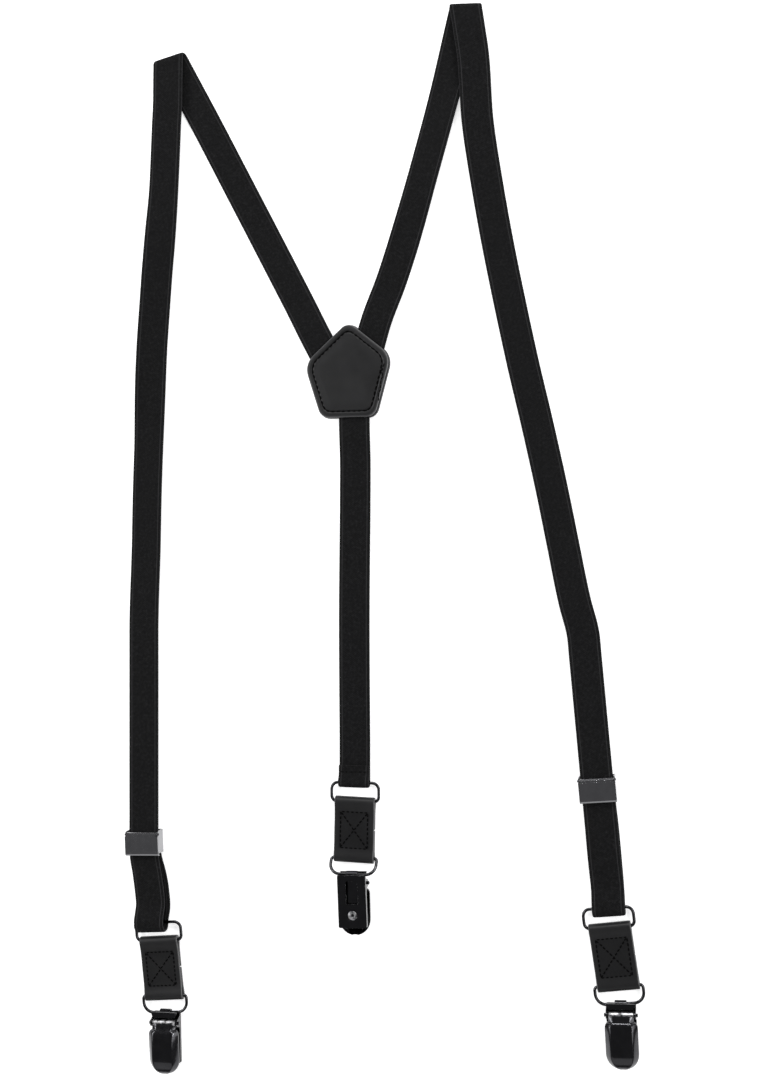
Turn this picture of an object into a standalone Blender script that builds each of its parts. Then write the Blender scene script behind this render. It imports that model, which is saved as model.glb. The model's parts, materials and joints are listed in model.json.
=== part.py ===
"""Y-back suspenders with three clips, lying folded over on a surface.

The frame has +Y towards the two shoulder folds, +Z up from the surface, and its origin at the centre
of the bounding box's bottom. The inner side of the leather yoke faces up. The two back straps lie on
the surface and turn over at the shoulders, so the front straps, their sliders and their clips show the
side that is worn outwards. The rear clip lies on its lever. Lengths in the tables are in millimetres.
"""

import math

import bmesh
import bpy
from mathutils import Matrix

for stray in list(bpy.data.objects):
    bpy.data.objects.remove(stray, do_unlink=True)

MM = 0.001
FRAME_X, FRAME_Y = -3.727, -4.301

WEB_WIDTH, WEB_THICK = 15.0, 1.4
Z_LOW, Z_HIGH = 0.75, 4.05
Z_WIRE = (Z_LOW + Z_HIGH) / 2
FOLD_R = (Z_HIGH - Z_LOW) / 2
FOLD_REACH = 14.0
NODE_GAP = 0.3

WIRE_R = 0.75
RING_HALF, RING_DROP = 11.5, 9.0
DRING_HALF, DRING_DROP = 11.1, 8.4
TAB_HALF, TAB_EYES, TAB_LAYER, TAB_EYE_R = 9.75, 26.7, 1.37, 1.02
PATCH_THICK = 1.5
THREAD_R = 0.2

CLIP_HIGH, BAR_B, BAR_C = 9.4, 4.4, 2.4
PIN_C, PIN_R, BARREL_R = 4.8, 0.65, 1.6
CLIP_HALF, SHEET = 6.85, 0.75
LEVER_TIP, LEVER_HALF, NECK_HALF = -24.7, 7.5, 5.8

SLIDER_HALF, SLIDER_LONG = 8.5, 5.6
FLAP_B, FLAP_C, FLAP_PIN_R, FLAP_BARREL_R = 4.0, 6.0, 0.45, 1.1

YOKE = [(-17.3, 104.4), (3.8, 87.6), (-4.0, 58.2), (-30.8, 58.0), (-39.2, 84.2)]
YOKE_R = (5.0, 9.0, 5.5, 5.5, 9.0)
REAR_X, REAR_TOP, REAR_SPLIT, HEM_TOP = -14.8, 80.0, -95.0, -107.5

SIDES = {
    "left": {
        "yoke_end": [(-27.3, 85.4), (-38.1, 105.8), (-57.4, 142.5), (-73.2, 172.4), (-89.5, 203.2)],
        "crease": ((-115.0, 234.9), (-99.7, 238.7)),
        "front": [(-108.6, 203.0), (-109.9, 173.8), (-111.6, 144.5), (-114.3, 115.0), (-116.4, 86.0),
                  (-118.2, 56.5), (-119.4, 27.0), (-120.0, -2.5), (-120.3, -32.0), (-120.3, -52.0)],
        "axis_foot": (-120.3, -190.0), "lean": 0.0, "front_end": -142.0,
        "slider": -148.0, "tilt": 2.4, "ring": (-113.6, -187.5), "turn": 4.5, "tab": 5.9, "clip": 1.3,
        "down": [(-120.2, -154.5), (-118.6, -164.0), (-117.1, -175.0)], "web_at_ring": -116.4, "proud": 8.0,
        "lift": -155.0,
        "up": [(-115.8, -180.0), (-115.7, -170.0), (-117.4, -160.0), (-120.2, -153.0)],
    },
    "right": {
        "yoke_end": [(-8.2, 89.3), (-3.8, 104.7), (4.0, 126.0), (13.0, 154.0), (21.2, 182.0), (29.9, 214.0)],
        "crease": ((31.2, 251.95), (46.0, 251.35)),
        "front": [(45.0, 194.2), (49.3, 165.9), (54.2, 137.6), (59.9, 109.5), (66.0, 81.4),
                  (72.6, 53.4), (78.8, 25.5), (84.5, -2.3), (89.9, -28.0), (93.94, -44.0),
                  (94.69, -52.0), (96.93, -76.0)],
        "axis_foot": (105.9, -172.0), "lean": 5.34, "front_end": -130.0,
        "slider": -114.0, "tilt": 0.0, "ring": (104.8, -169.2), "turn": 7.0, "tab": 8.5, "clip": 2.6,
        "down": [(103.6, -148.0), (104.9, -160.0)], "web_at_ring": 105.4, "proud": 6.6,
        "lift": -147.0,
        "up": [(105.1, -163.0), (103.9, -148.0), (102.2, -130.0), (101.05, -120.0)],
    },
}
REAR = {"ring": (REAR_X + 0.5, -115.65), "turn": 0.4, "tab": -1.1, "clip": 2.2}


# Collections, materials and the few ways of making a solid.

shown = bpy.data.collections.new("suspenders")
cutters = bpy.data.collections.new("cutters")
for group in (shown, cutters):
    bpy.context.scene.collection.children.link(group)
cutters.hide_render = True


def finish_of(name, colour, metallic, roughness):
    mat = bpy.data.materials.new(name)
    mat.use_nodes = True
    shader = mat.node_tree.nodes["Principled BSDF"]
    shader.inputs["Base Color"].default_value = (*colour, 1.0)
    shader.inputs["Metallic"].default_value = metallic
    shader.inputs["Roughness"].default_value = roughness
    mat.diffuse_color = (*colour, 1.0)
    return mat


LOOKS = {
    "webbing": ((0.012, 0.012, 0.013), 0.0, 0.9),
    "leather": ((0.022, 0.022, 0.023), 0.0, 0.4),
    "thread": ((0.006, 0.006, 0.006), 0.0, 0.7),
    "black_nickel": ((0.11, 0.11, 0.12), 1.0, 0.22),
    "slider_nickel": ((0.42, 0.42, 0.44), 1.0, 0.2),
    "pad": ((0.03, 0.03, 0.03), 0.0, 0.6),
}


def shape(name, points, faces, place, origin=(0, 0, 0), smooth=False, helper=False):
    """A mesh from points in millimetres, with its own origin at `origin` in the same coordinates."""
    mesh = bpy.data.meshes.new(name)
    mesh.from_pydata([[(p[k] - origin[k]) * MM for k in range(3)] for p in points], [], faces)
    bm = bmesh.new()
    bm.from_mesh(mesh)
    bmesh.ops.recalc_face_normals(bm, faces=bm.faces)
    bm.to_mesh(mesh)
    bm.free()
    obj = bpy.data.objects.new(name, mesh)
    obj.matrix_world = place @ Matrix.Translation([v * MM for v in origin])
    if smooth:
        mesh.polygons.foreach_set("use_smooth", [True] * len(mesh.polygons))
    (cutters if helper else shown).objects.link(obj)
    if helper:
        obj.hide_render = True
        obj.display_type = "WIRE"
    return obj


def paint(obj, look):
    colour, metallic, roughness = LOOKS[look]
    obj.data.materials.append(finish_of(obj.name, colour, metallic, roughness))
    return obj


def change(obj, other, operation):
    step = obj.modifiers.new(other.name, "BOOLEAN")
    step.operation = operation
    step.solver = "EXACT"
    step.object = other


def loft(loops):
    """Points and faces of a closed skin over loops that all hold the same number of points."""
    count, points = len(loops[0]), [p for loop in loops for p in loop]
    faces = [list(range(count)), list(range(len(points) - count, len(points)))]
    for k in range(len(loops) - 1):
        for i in range(count):
            j = (i + 1) % count
            faces.append([k * count + i, k * count + j, (k + 1) * count + j, (k + 1) * count + i])
    return points, faces


def prism_a(outline, half, low=None):
    """An outline in the b-c plane, from a = -half (or low) to a = half."""
    return loft([[(a, b, c) for b, c in outline] for a in (-half if low is None else low, half)])


def prism_c(outline, low, high):
    """An outline in the a-b plane, from c = low to c = high."""
    return loft([[(a, b, c) for a, b in outline] for c in (low, high)])


def disc(centre, radius, steps=24, start=0.0, end=360.0):
    whole = end - start >= 360
    count = steps if whole else steps + 1
    turns = [math.radians(start + (end - start) * k / steps) for k in range(count)]
    return [(centre[0] + radius * math.cos(t), centre[1] + radius * math.sin(t)) for t in turns]


def band(centre, inner, outer, start, end, steps=16):
    """A C-shaped outline between two arcs."""
    return disc(centre, outer, steps, start, end) + disc(centre, inner, steps, start, end)[::-1]


def filleted(corners, radii, steps=6):
    """The polygon with every corner rounded, by one radius or by one for each corner."""
    result = []
    radii = radii if hasattr(radii, "__len__") else [radii] * len(corners)
    for k, (corner, radius) in enumerate(zip(corners, radii)):
        before, after = corners[k - 1], corners[(k + 1) % len(corners)]
        u = [before[i] - corner[i] for i in (0, 1)]
        v = [after[i] - corner[i] for i in (0, 1)]
        u = [x / math.hypot(*u) for x in u]
        v = [x / math.hypot(*v) for x in v]
        half = math.acos(max(-1, min(1, u[0] * v[0] + u[1] * v[1]))) / 2
        mid = [u[i] + v[i] for i in (0, 1)]
        mid = [x / math.hypot(*mid) for x in mid]
        centre = [corner[i] + mid[i] * radius / math.sin(half) for i in (0, 1)]
        first = [corner[i] + u[i] * radius / math.tan(half) - centre[i] for i in (0, 1)]
        last = [corner[i] + v[i] * radius / math.tan(half) - centre[i] for i in (0, 1)]
        start, end = math.atan2(first[1], first[0]), math.atan2(last[1], last[0])
        sweep = (end - start + math.pi) % (2 * math.pi) - math.pi
        for n in range(steps + 1):
            t = start + sweep * n / steps
            result.append((centre[0] + radius * math.cos(t), centre[1] + radius * math.sin(t)))
    return result


def grown(corners, by):
    """A convex polygon, listed clockwise, with every side moved out by `by`."""
    result = []
    for k, corner in enumerate(corners):
        before, after = corners[k - 1], corners[(k + 1) % len(corners)]
        u = [corner[i] - before[i] for i in (0, 1)]
        v = [after[i] - corner[i] for i in (0, 1)]
        u = [x / math.hypot(*u) for x in u]
        v = [x / math.hypot(*v) for x in v]
        share = by / (1 + u[0] * v[0] + u[1] * v[1])
        result.append((corner[0] + share * (-u[1] - v[1]), corner[1] + share * (u[0] + v[0])))
    return result


def tube(name, points, radius, place, closed=True, origin=(0, 0, 0)):
    data = bpy.data.curves.new(name, "CURVE")
    data.dimensions = "3D"
    data.bevel_depth = radius * MM
    data.bevel_resolution = 2
    data.use_fill_caps = not closed
    line = data.splines.new("POLY")
    line.points.add(len(points) - 1)
    for point, p in zip(line.points, points):
        point.co = (*[(p[k] - origin[k]) * MM for k in range(3)], 1.0)
    line.use_cyclic_u = closed
    obj = bpy.data.objects.new(name, data)
    obj.matrix_world = place @ Matrix.Translation([v * MM for v in origin])
    shown.objects.link(obj)
    return obj


def spline(points, step=6.0):
    """A smooth line through the points, as evenly stepped points. At each point it heads along its two
    chords' directions, each weighted by the other's length, so that uneven spacing makes no kink."""
    axes = range(len(points[0]))
    gaps = [math.dist(a, b) for a, b in zip(points, points[1:])]
    slopes = [[(b[i] - a[i]) / g for i in axes] for a, b, g in zip(points, points[1:], gaps)]
    heads = [slopes[0], *([(s[i] * h + t[i] * g) / (g + h) for i in axes]
                          for s, t, g, h in zip(slopes, slopes[1:], gaps, gaps[1:])), slopes[-1]]
    result = []
    for k, gap in enumerate(gaps):
        count = max(1, round(gap / step))
        for n in range(count):
            t = n / count
            weights = (2 * t**3 - 3 * t * t + 1, (t**3 - 2 * t * t + t) * gap, 3 * t * t - 2 * t**3, (t**3 - t * t) * gap)
            knots = (points[k], heads[k], points[k + 1], heads[k + 1])
            result.append(tuple(sum(w * p[i] for w, p in zip(weights, knots)) for i in axes))
    return [*result, tuple(points[-1])]


def smoothstep(low, high, x):
    """0 at low and 1 at high, which may be the smaller of the two."""
    t = max(0.0, min(1.0, (x - low) / (high - low)))
    return t * t * (3 - 2 * t)


def ribbon(line, turns=None):
    """Webbing along points in space. `turns` holds, for each point, how far its width is turned from +X;
    without it, the width is level and square to the line."""
    loops = []
    for k, p in enumerate(line):
        before, after = line[max(k - 1, 0)], line[min(k + 1, len(line) - 1)]
        t = [after[i] - before[i] for i in range(3)]
        t = [x / math.hypot(*t) for x in t]
        if turns:
            w = [math.cos(turns[k]), math.sin(turns[k]), 0]
        else:
            w = [-t[1] / math.hypot(t[0], t[1]), t[0] / math.hypot(t[0], t[1]), 0]
        n = [w[1] * t[2] - w[2] * t[1], w[2] * t[0] - w[0] * t[2], w[0] * t[1] - w[1] * t[0]]
        n = [x / math.hypot(*n) for x in n]
        loops.append([
            tuple(p[i] + sw * w[i] * WEB_WIDTH / 2 + sn * n[i] * WEB_THICK / 2 for i in range(3))
            for sw, sn in ((-1, -1), (1, -1), (1, 1), (-1, 1))
        ])
    return loft(loops)


ROW = Matrix.Translation((-FRAME_X * MM, -FRAME_Y * MM, 0))


def placed(x, y, turn, z=0.0):
    return ROW @ Matrix.Translation((x * MM, y * MM, z * MM)) @ Matrix.Rotation(math.radians(turn), 4, "Z")


# The yoke: two leather patches, cut as rounded pentagons, sewn together over the ends of three straps.

for name, inset, low in (("yoke_outer_patch", 0.0, 0.0), ("yoke_inner_patch", -0.3, 2 * WEB_THICK + 0.6)):
    outline = filleted(grown(YOKE, inset), YOKE_R)
    soft = filleted(grown(YOKE, inset - 0.5), [r - 0.4 for r in YOKE_R])
    levels = [(soft, 0.0), (outline, 0.4), (outline, PATCH_THICK - 0.4), (soft, PATCH_THICK)]
    loops = [[(x, y, low + z) for x, y in loop] for loop, z in levels]
    if name == "yoke_outer_patch":
        loops[0] = [(x, y, low) for x, y in outline]
        del loops[1]
    paint(shape(name, *loft(loops), ROW), "leather")

seam = filleted(grown(YOKE, -3.2), [r - 2.6 for r in YOKE_R], 4)
seam_z = 2 * WEB_THICK + 0.6 + PATCH_THICK + THREAD_R + 0.05
paint(tube("yoke_stitching", [(x, y, seam_z) for x, y in seam], THREAD_R, ROW), "thread")


# Back straps run from inside the yoke to the shoulder folds, where the webbing turns over a slanting line.

Z_YOKE = PATCH_THICK + 0.25 + WEB_THICK / 2
BODIES = {}


def turned_over(p, crease, normal):
    """A point of the flat webbing, (x, y, height above its middle), rolled over the shoulder line."""
    q = (p[0] - crease[0]) * normal[0] + (p[1] - crease[1]) * normal[1]
    arc = math.pi * FOLD_R
    if q <= 0:
        return (p[0], p[1], Z_LOW + p[2])
    if q < arc:
        out = (FOLD_R - p[2]) * math.sin(q / FOLD_R) - q
        return (p[0] + normal[0] * out, p[1] + normal[1] * out,
                Z_LOW + FOLD_R - (FOLD_R - p[2]) * math.cos(q / FOLD_R))
    back = arc - 2 * q
    return (p[0] + normal[0] * back, p[1] + normal[1] * back, Z_HIGH - p[2])


for side, s in SIDES.items():
    (x0, y0), (x1, y1) = s["crease"]
    span = math.dist((x0, y0), (x1, y1))
    normal = (-(y1 - y0) / span, (x1 - x0) / span)
    outer = FOLD_R + WEB_THICK / 2
    crease = ((x0 + x1) / 2 - normal[0] * outer, (y0 + y1) / 2 - normal[1] * outer)
    last = s["yoke_end"][-1]
    heading = [crease[i] + normal[i] * FOLD_R * 0.6 - last[i] for i in (0, 1)]
    heading = [v / math.hypot(*heading) for v in heading]
    square = (-heading[1], heading[0])
    rise = heading[0] * normal[0] + heading[1] * normal[1]
    reach = ((crease[0] - last[0]) * normal[0] + (crease[1] - last[1]) * normal[1]) / rise
    foot = [last[i] + heading[i] * (reach - FOLD_REACH) for i in (0, 1)]

    route = spline([*s["yoke_end"], tuple(foot[i] - heading[i] * NODE_GAP for i in (0, 1))])
    gone, line = 0.0, []
    for k, p in enumerate(route):
        gone += math.dist(p, route[k - 1]) if k else 0.0
        line.append((*p, Z_YOKE + (Z_LOW - Z_YOKE) * smoothstep(12, 34, gone)))
    paint(shape(f"back_strap_{side}", *ribbon(line), ROW), "webbing")

    long = 2 * FOLD_REACH + math.pi * FOLD_R / rise
    rows, columns = 40, 6
    loops = []
    for k in range(rows + 1):
        base = [foot[i] + heading[i] * long * k / rows for i in (0, 1)]
        edge = [-WEB_WIDTH / 2 + WEB_WIDTH * n / columns for n in range(columns + 1)]
        section = [(w, -WEB_THICK / 2) for w in edge] + [(w, WEB_THICK / 2) for w in edge[::-1]]
        loops.append([
            turned_over((base[0] + square[0] * w, base[1] + square[1] * w, h), crease, normal) for w, h in section
        ])
    hinge = (crease[0], crease[1], Z_WIRE)
    paint(shape(f"shoulder_fold_{side}", *loft(loops), ROW, hinge, smooth=False), "webbing")

    end = [foot[i] + heading[i] * (long + NODE_GAP) for i in (0, 1)]
    start = turned_over((end[0], end[1], 0.0), crease, normal)[:2]
    leaving = [heading[i] - 2 * rise * normal[i] for i in (0, 1)]
    second = tuple(start[i] + 5 * leaving[i] for i in (0, 1))
    along = (math.sin(math.radians(s["lean"])), -math.cos(math.radians(s["lean"])))
    bottom = (s["axis_foot"][0] - math.tan(math.radians(s["lean"])) * (s["front_end"] - s["axis_foot"][1]), s["front_end"])
    route = spline([second, *s["front"], bottom])
    line = [(*p, Z_HIGH) for p in (start, *route)]
    paint(shape(f"front_strap_{side}", *ribbon(line), ROW, hinge), "webbing")

    # Its last stretch is straight, along the slider's way. The adjuster loop: down to the ring, round its bar, and back up behind to the slider.
    turn = math.radians(s["turn"])
    ring_x, ring_y = s["ring"]
    web_x = s["web_at_ring"]
    bar_y = ring_y + math.tan(turn) * (web_x - ring_x)
    top = (bottom[0] - along[0] * -NODE_GAP, bottom[1] + along[1] * NODE_GAP)
    down = spline([top, *s["down"], (web_x, bar_y)], 5.0)
    slider_x = s["axis_foot"][0] - math.tan(math.radians(s["lean"])) * (s["slider"] - s["axis_foot"][1])
    up = spline([(web_x, bar_y), *s["up"], (slider_x, s["slider"] + 2.5)], 5.0)
    z_end, loop_r = 1.55, (s["proud"] - Z_LOW) / 2
    line = [(*p, Z_HIGH + (s["proud"] - Z_HIGH) * smoothstep(s["lift"], s["lift"] - 17, p[1])) for p in down[:-1]]
    for k in range(17):
        t = math.pi * (0.5 - k / 16)
        reach = -loop_r * math.cos(t)
        line.append((web_x - math.sin(turn) * reach, bar_y + math.cos(turn) * reach,
                     Z_LOW + loop_r + loop_r * math.sin(t)))
    rise_to = abs(s["slider"] - ring_y)
    for p in up[1:]:
        line.append((*p, Z_LOW + (z_end - Z_LOW) * smoothstep(rise_to - 22, rise_to - 7, p[1] - ring_y)))
    lean = math.radians(s["lean"])
    turns = [lean + (turn - lean) * smoothstep(40, 5, abs(p[1] - ring_y)) for p in line]
    paint(shape(f"adjuster_loop_{side}", *ribbon(line, turns), ROW), "webbing")


# The rear strap, from inside the yoke to the rear ring, and its end, turned up round the ring and sewn.

line = []
for k in range(31):
    y = REAR_TOP + (REAR_SPLIT - REAR_TOP) * k / 30
    line.append((REAR_X, y, Z_YOKE + (Z_LOW - Z_YOKE) * smoothstep(24, 44, REAR_TOP - y)))
paint(shape("rear_strap", *ribbon(line), ROW), "webbing")

bar_x, bar_y = REAR["ring"]
line = [(REAR_X, REAR_SPLIT - NODE_GAP, Z_LOW), (REAR_X, -104.0, Z_LOW)]
for k in range(13):
    t = math.pi * (-0.5 + k / 12)
    line.append((REAR_X, bar_y - FOLD_R * math.cos(t), Z_WIRE + FOLD_R * math.sin(t)))
line += [(REAR_X, -114.6, 3.75), (REAR_X, -112.6, 2.7), (REAR_X, -111.4, 2.38), (REAR_X, HEM_TOP, 2.35)]
paint(shape("rear_strap_end", *ribbon(line, [0.0] * len(line)), ROW), "webbing")
hem = [(REAR_X + k * 1.2, -110.6, 2.37 + WEB_THICK / 2 + THREAD_R + 0.06) for k in range(-5, 6)]
paint(tube("rear_hem_stitching", hem, THREAD_R, ROW, closed=False), "thread")


# Each strap end carries a ring, a folded leather tab with a box of stitching, a narrower ring and a clip.

def wire_loop(corners, radii, drop_z=0.0, low_z=0.0):
    """A rounded four-sided wire path; the last two corners lie at the height low_z."""
    high = corners[0][1]
    low = corners[2][1]
    flat = filleted(corners, radii, 5)
    return [(a, b, drop_z + (low_z - drop_z) * (high - b) / (high - low)) for a, b in flat]


ENDS = {"left": SIDES["left"], "right": SIDES["right"], "rear": REAR}
for end, s in ENDS.items():
    place = placed(*s["ring"], s["turn"])
    rear = end == "rear"

    def swung(at_b, by, frame):
        """The frame turned by `by` degrees about its own point (0, at_b)."""
        return frame @ Matrix.Translation((0, at_b * MM, 0)) @ Matrix.Rotation(math.radians(by), 4, "Z") @ (
            Matrix.Translation((0, -at_b * MM, 0)))

    corners = [(-RING_HALF, 0), (RING_HALF, 0), (RING_HALF, -RING_DROP), (-RING_HALF, -RING_DROP)]
    path = wire_loop(corners, [3.2, 3.2, 2.2, 2.2], Z_WIRE, Z_WIRE)
    paint(tube(f"strap_ring_{end}", path, WIRE_R, place, origin=(0, 0, Z_WIRE)), "black_nickel")

    # The tab is one strip of leather, doubled between the rings, with a wire in each fold.
    upper, lower = -RING_DROP, -RING_DROP - TAB_EYES
    place = swung(upper, s["tab"] - s["turn"], place)
    fold = TAB_EYE_R + TAB_LAYER
    waist = TAB_LAYER + 0.25
    outline = disc((upper, Z_WIRE), fold, 14, 105, -105)
    outline += [(upper - 3.6, Z_WIRE - waist - 0.1), (upper - 6, Z_WIRE - waist)]
    outline += [(lower + 6, Z_WIRE - waist), (lower + 3.6, Z_WIRE - waist - 0.1)]
    outline += disc((lower, Z_WIRE), fold, 14, 285, 75)
    outline += [(lower + 3.6, Z_WIRE + waist + 0.1), (lower + 6, Z_WIRE + waist)]
    outline += [(upper - 6, Z_WIRE + waist), (upper - 3.6, Z_WIRE + waist + 0.1)]
    tab = shape(f"tab_{end}", *prism_a(outline, TAB_HALF), place, (0, upper, Z_WIRE))
    for key, at in (("upper", upper), ("lower", lower)):
        eye = shape(f"tab_{end}_{key}_eye", *prism_a(disc((at, Z_WIRE), TAB_EYE_R, 20), TAB_HALF + 1), place, helper=True)
        change(tab, eye, "DIFFERENCE")
    paint(tab, "leather")

    # The box and cross of stitching on the tab's upper face, as one flat line of thread.
    data = bpy.data.curves.new(f"tab_stitching_{end}", "CURVE")
    data.dimensions = "2D"
    data.fill_mode = "BOTH"
    data.extrude = 0.15 * MM
    half_w, half_h, line_w = 6.3, 8.0, 0.45
    middle = (upper + lower) / 2 + (1.0 if not rear else -1.0)
    slant = line_w * math.hypot(half_w, half_h)
    gap_w, gap_h = slant / half_h, slant / half_w
    iw, ih = half_w - line_w, half_h - line_w
    loops = [[(-half_w, -half_h), (half_w, -half_h), (half_w, half_h), (-half_w, half_h)]]
    loops += [[(-iw + gap_w, sign * ih), (iw - gap_w, sign * ih), (0, sign * gap_h)] for sign in (-1, 1)]
    loops += [[(sign * iw, -ih + gap_h), (sign * iw, ih - gap_h), (sign * gap_w, 0)] for sign in (-1, 1)]
    for loop in loops:
        run = data.splines.new("POLY")
        run.points.add(len(loop) - 1)
        for point, (a, b) in zip(run.points, loop):
            point.co = (a * MM, b * MM, 0, 1)
        run.use_cyclic_u = True
    stitching = bpy.data.objects.new(data.name, data)
    stitching.matrix_world = place @ Matrix.Translation((0, middle * MM, (Z_WIRE + waist + 0.25) * MM))
    shown.objects.link(stitching)
    paint(stitching, "thread")

    # The clip's ring narrows to the width of the clip. The rear one slopes up to a clip that lies on its lever.
    bar_z = CLIP_HIGH - BAR_C if rear else BAR_C
    fall = math.sqrt(DRING_DROP**2 - (bar_z - Z_WIRE) ** 2)
    place = swung(lower, s["turn"] - s["tab"], place)
    corners = [(-DRING_HALF, lower), (DRING_HALF, lower), (DRING_HALF, lower - fall), (-DRING_HALF, lower - fall)]
    flat = filleted(corners, [1.6, 1.6, 5.0, 5.0], 5)
    path = [(a, b, Z_WIRE + (bar_z - Z_WIRE) * (lower - b) / fall) for a, b in flat]
    paint(tube(f"clip_ring_{end}", path, WIRE_R, place, origin=(0, lower, Z_WIRE)), "black_nickel")

    # Clip coordinates: a across, b up towards the ring from the lever's pin, c from the back plate.
    place = swung(lower - fall, s["clip"] - s["turn"], place)
    place = place @ Matrix.Translation((0, (lower - fall - BAR_B) * MM, 0))
    if rear:
        place = place @ Matrix.Translation((0, 0, CLIP_HIGH * MM)) @ Matrix.Rotation(math.pi, 4, "Y")
    hinge = (0, 0, PIN_C)
    bar = (0, BAR_B, BAR_C)

    # The clip body: a back plate with folded sides, ears for the pin, a bottom lip and a curled tongue.
    body = shape(f"clip_body_{end}", *prism_c(
        filleted([(-CLIP_HALF, BAR_B), (CLIP_HALF, BAR_B), (CLIP_HALF, -20.5), (-CLIP_HALF, -20.5)], 0.8, 3), 0, SHEET),
        place, bar)
    wall = [(-20.1, 0.1), (-20.1, 1.2), (-19.2, 1.9), (-3.8, 1.9), (-2.6, 2.4)]
    wall += disc((0, PIN_C), 1.75, 12, 180, 0) + [(2.6, 2.4), (3.6, 1.3), (4.2, 1.0), (4.2, 0.1)]
    for sign, key in ((-1, "a"), (1, "b")):
        low, high = sorted((sign * CLIP_HALF, sign * (CLIP_HALF - 0.7)))
        flange = shape(f"clip_body_{end}_wall_{key}", *prism_a(wall, high, low), place, helper=True)
        change(body, flange, "UNION")
    lip = shape(f"clip_body_{end}_lip", *prism_a([(-20.45, 0.1), (-20.45, 1.5), (-19.75, 1.7), (-19.75, 0.1)], 6.35),
                place, helper=True)
    change(body, lip, "UNION")
    tongue = shape(f"clip_body_{end}_tongue", *prism_a(band((BAR_B, BAR_C), 1.0, 1.75, -110, 140), 2.7),
                   place, helper=True)
    change(body, tongue, "UNION")
    window = [(-2.8, 1.6), (2.8, 1.6), (2.8, -9.2), (-2.8, -9.2)]
    for key, (points, faces) in {
        "window": prism_c(filleted(window, 0.5, 3), -1, 2),
        "rivet_hole": prism_c(disc((0, -14.6), 2.3), -1, 1.2),
        "pin_hole": prism_a(disc((0, PIN_C), PIN_R + 0.2, 16), 9),
    }.items():
        change(body, shape(f"clip_body_{end}_{key}", points, faces, place, helper=True), "DIFFERENCE")
    paint(body, "black_nickel")

    # The rivet that closes the back plate's hole, open in the middle.
    profile = [(0.85, 0.08), (2.0, 0.08), (2.1, 0.3), (2.1, 0.82), (2.9, 0.82), (2.9, 1.02), (2.7, 1.12), (0.85, 1.12)]
    count, steps = len(profile), 28
    points = [(r * math.cos(t), -14.6 + r * math.sin(t), c)
              for t in (2 * math.pi * k / steps for k in range(steps)) for r, c in profile]
    faces = [[k * count + i, k * count + (i + 1) % count, (k + 1) % steps * count + (i + 1) % count,
              (k + 1) % steps * count + i] for k in range(steps) for i in range(count)]
    paint(shape(f"clip_rivet_{end}", points, faces, place), "black_nickel")

    # The jaw plate pivots on the same pin: its top shows above the lever and its foot meets the lip.
    bend = [(5.3, 5.4), (2.9, 5.4), (1.55, 2.6), (-2.0, 2.55), (-17.2, 2.35), (-19.2, 2.0)]
    half = 0.35
    outline = [(b, c + half) for b, c in bend[:1]] + [(2.65, 5.75), (1.25, 2.95), (-2.0, 2.9), (-17.3, 2.7), (-19.3, 2.35)]
    outline += [(-19.3, 1.65), (-17.1, 2.0), (-2.0, 2.2), (1.85, 2.25), (3.15, 5.05), (5.3, 5.05)]
    jaw = shape(f"clip_jaw_{end}", *prism_a(outline, 5.6), place, hinge)
    brow = shape(f"clip_jaw_{end}_brow", *prism_c([(-6.5, 5.3), (6.5, 5.3), (5.85, 2.75), (-5.85, 2.75)], 5.06, 5.74),
                 place, helper=True)
    change(jaw, brow, "UNION")
    paint(jaw, "black_nickel")
    pad = [(-11.0, 1.3), (-11.0, 1.95), (-17.0, 1.9), (-17.0, 1.3)]
    paint(shape(f"clip_pad_{end}", *prism_a(pad, 4.8), place, hinge), "pad")

    # The lever: a domed shell with a narrow neck on a barrel round the pin.
    sections = [  # b, half width, flat half width, top, foot
        (0.2, NECK_HALF, 4.8, 6.5, 5.2), (-1.4, NECK_HALF, 4.8, 7.0, 5.2), (-3.0, NECK_HALF, 4.9, 7.9, 5.3),
        (-3.4, 6.5, 5.0, 8.15, 5.4), (-4.4, 7.35, 5.1, 8.6, 5.4), (-7.0, LEVER_HALF, 5.1, 9.1, 5.4),
        (-11.0, LEVER_HALF, 5.0, CLIP_HIGH, 5.3), (-16.5, LEVER_HALF, 4.9, CLIP_HIGH, 4.9),
        (-19.2, 7.05, 4.5, 9.1, 4.6), (-21.6, 5.95, 3.6, 8.3, 4.4), (-23.4, 4.35, 2.6, 7.2, 4.3),
        (LEVER_TIP + 0.3, 2.7, 1.6, 6.1, 4.3), (LEVER_TIP, 1.6, 0.95, 5.5, 4.3)]
    loops = []
    for b, wide, flat_half, top, low in sections:
        t = min(SHEET, wide * 0.35)
        shelf = low + min(1.2, (top - low) * 0.4)
        loops.append([(a, b, c) for a, c in (
            (-wide, low), (-wide, shelf), (-flat_half, top), (flat_half, top), (wide, shelf), (wide, low),
            (wide - t, low), (wide - t, shelf - 0.3 * t), (flat_half - 0.35 * t, top - t),
            (-flat_half + 0.35 * t, top - t), (-wide + t, shelf - 0.3 * t), (-wide + t, low))])
    lever = shape(f"clip_lever_{end}", *loft(loops), place, hinge)
    barrel = shape(f"clip_lever_{end}_barrel", *prism_a(disc((0, PIN_C), BARREL_R, 24), 5.7), place, helper=True)
    change(lever, barrel, "UNION")
    bore = shape(f"clip_lever_{end}_bore", *prism_a(disc((0, PIN_C), PIN_R + 0.2, 16), 9), place, helper=True)
    change(lever, bore, "DIFFERENCE")
    paint(lever, "black_nickel")

    pin = shape(f"clip_pin_{end}", *prism_a(disc((0, PIN_C), PIN_R, 20), 7.7), place, hinge)
    paint(pin, "black_nickel")


# Each slider: a folded frame round the strap, a pin, and a flap whose cam bears on the webbing.

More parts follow.
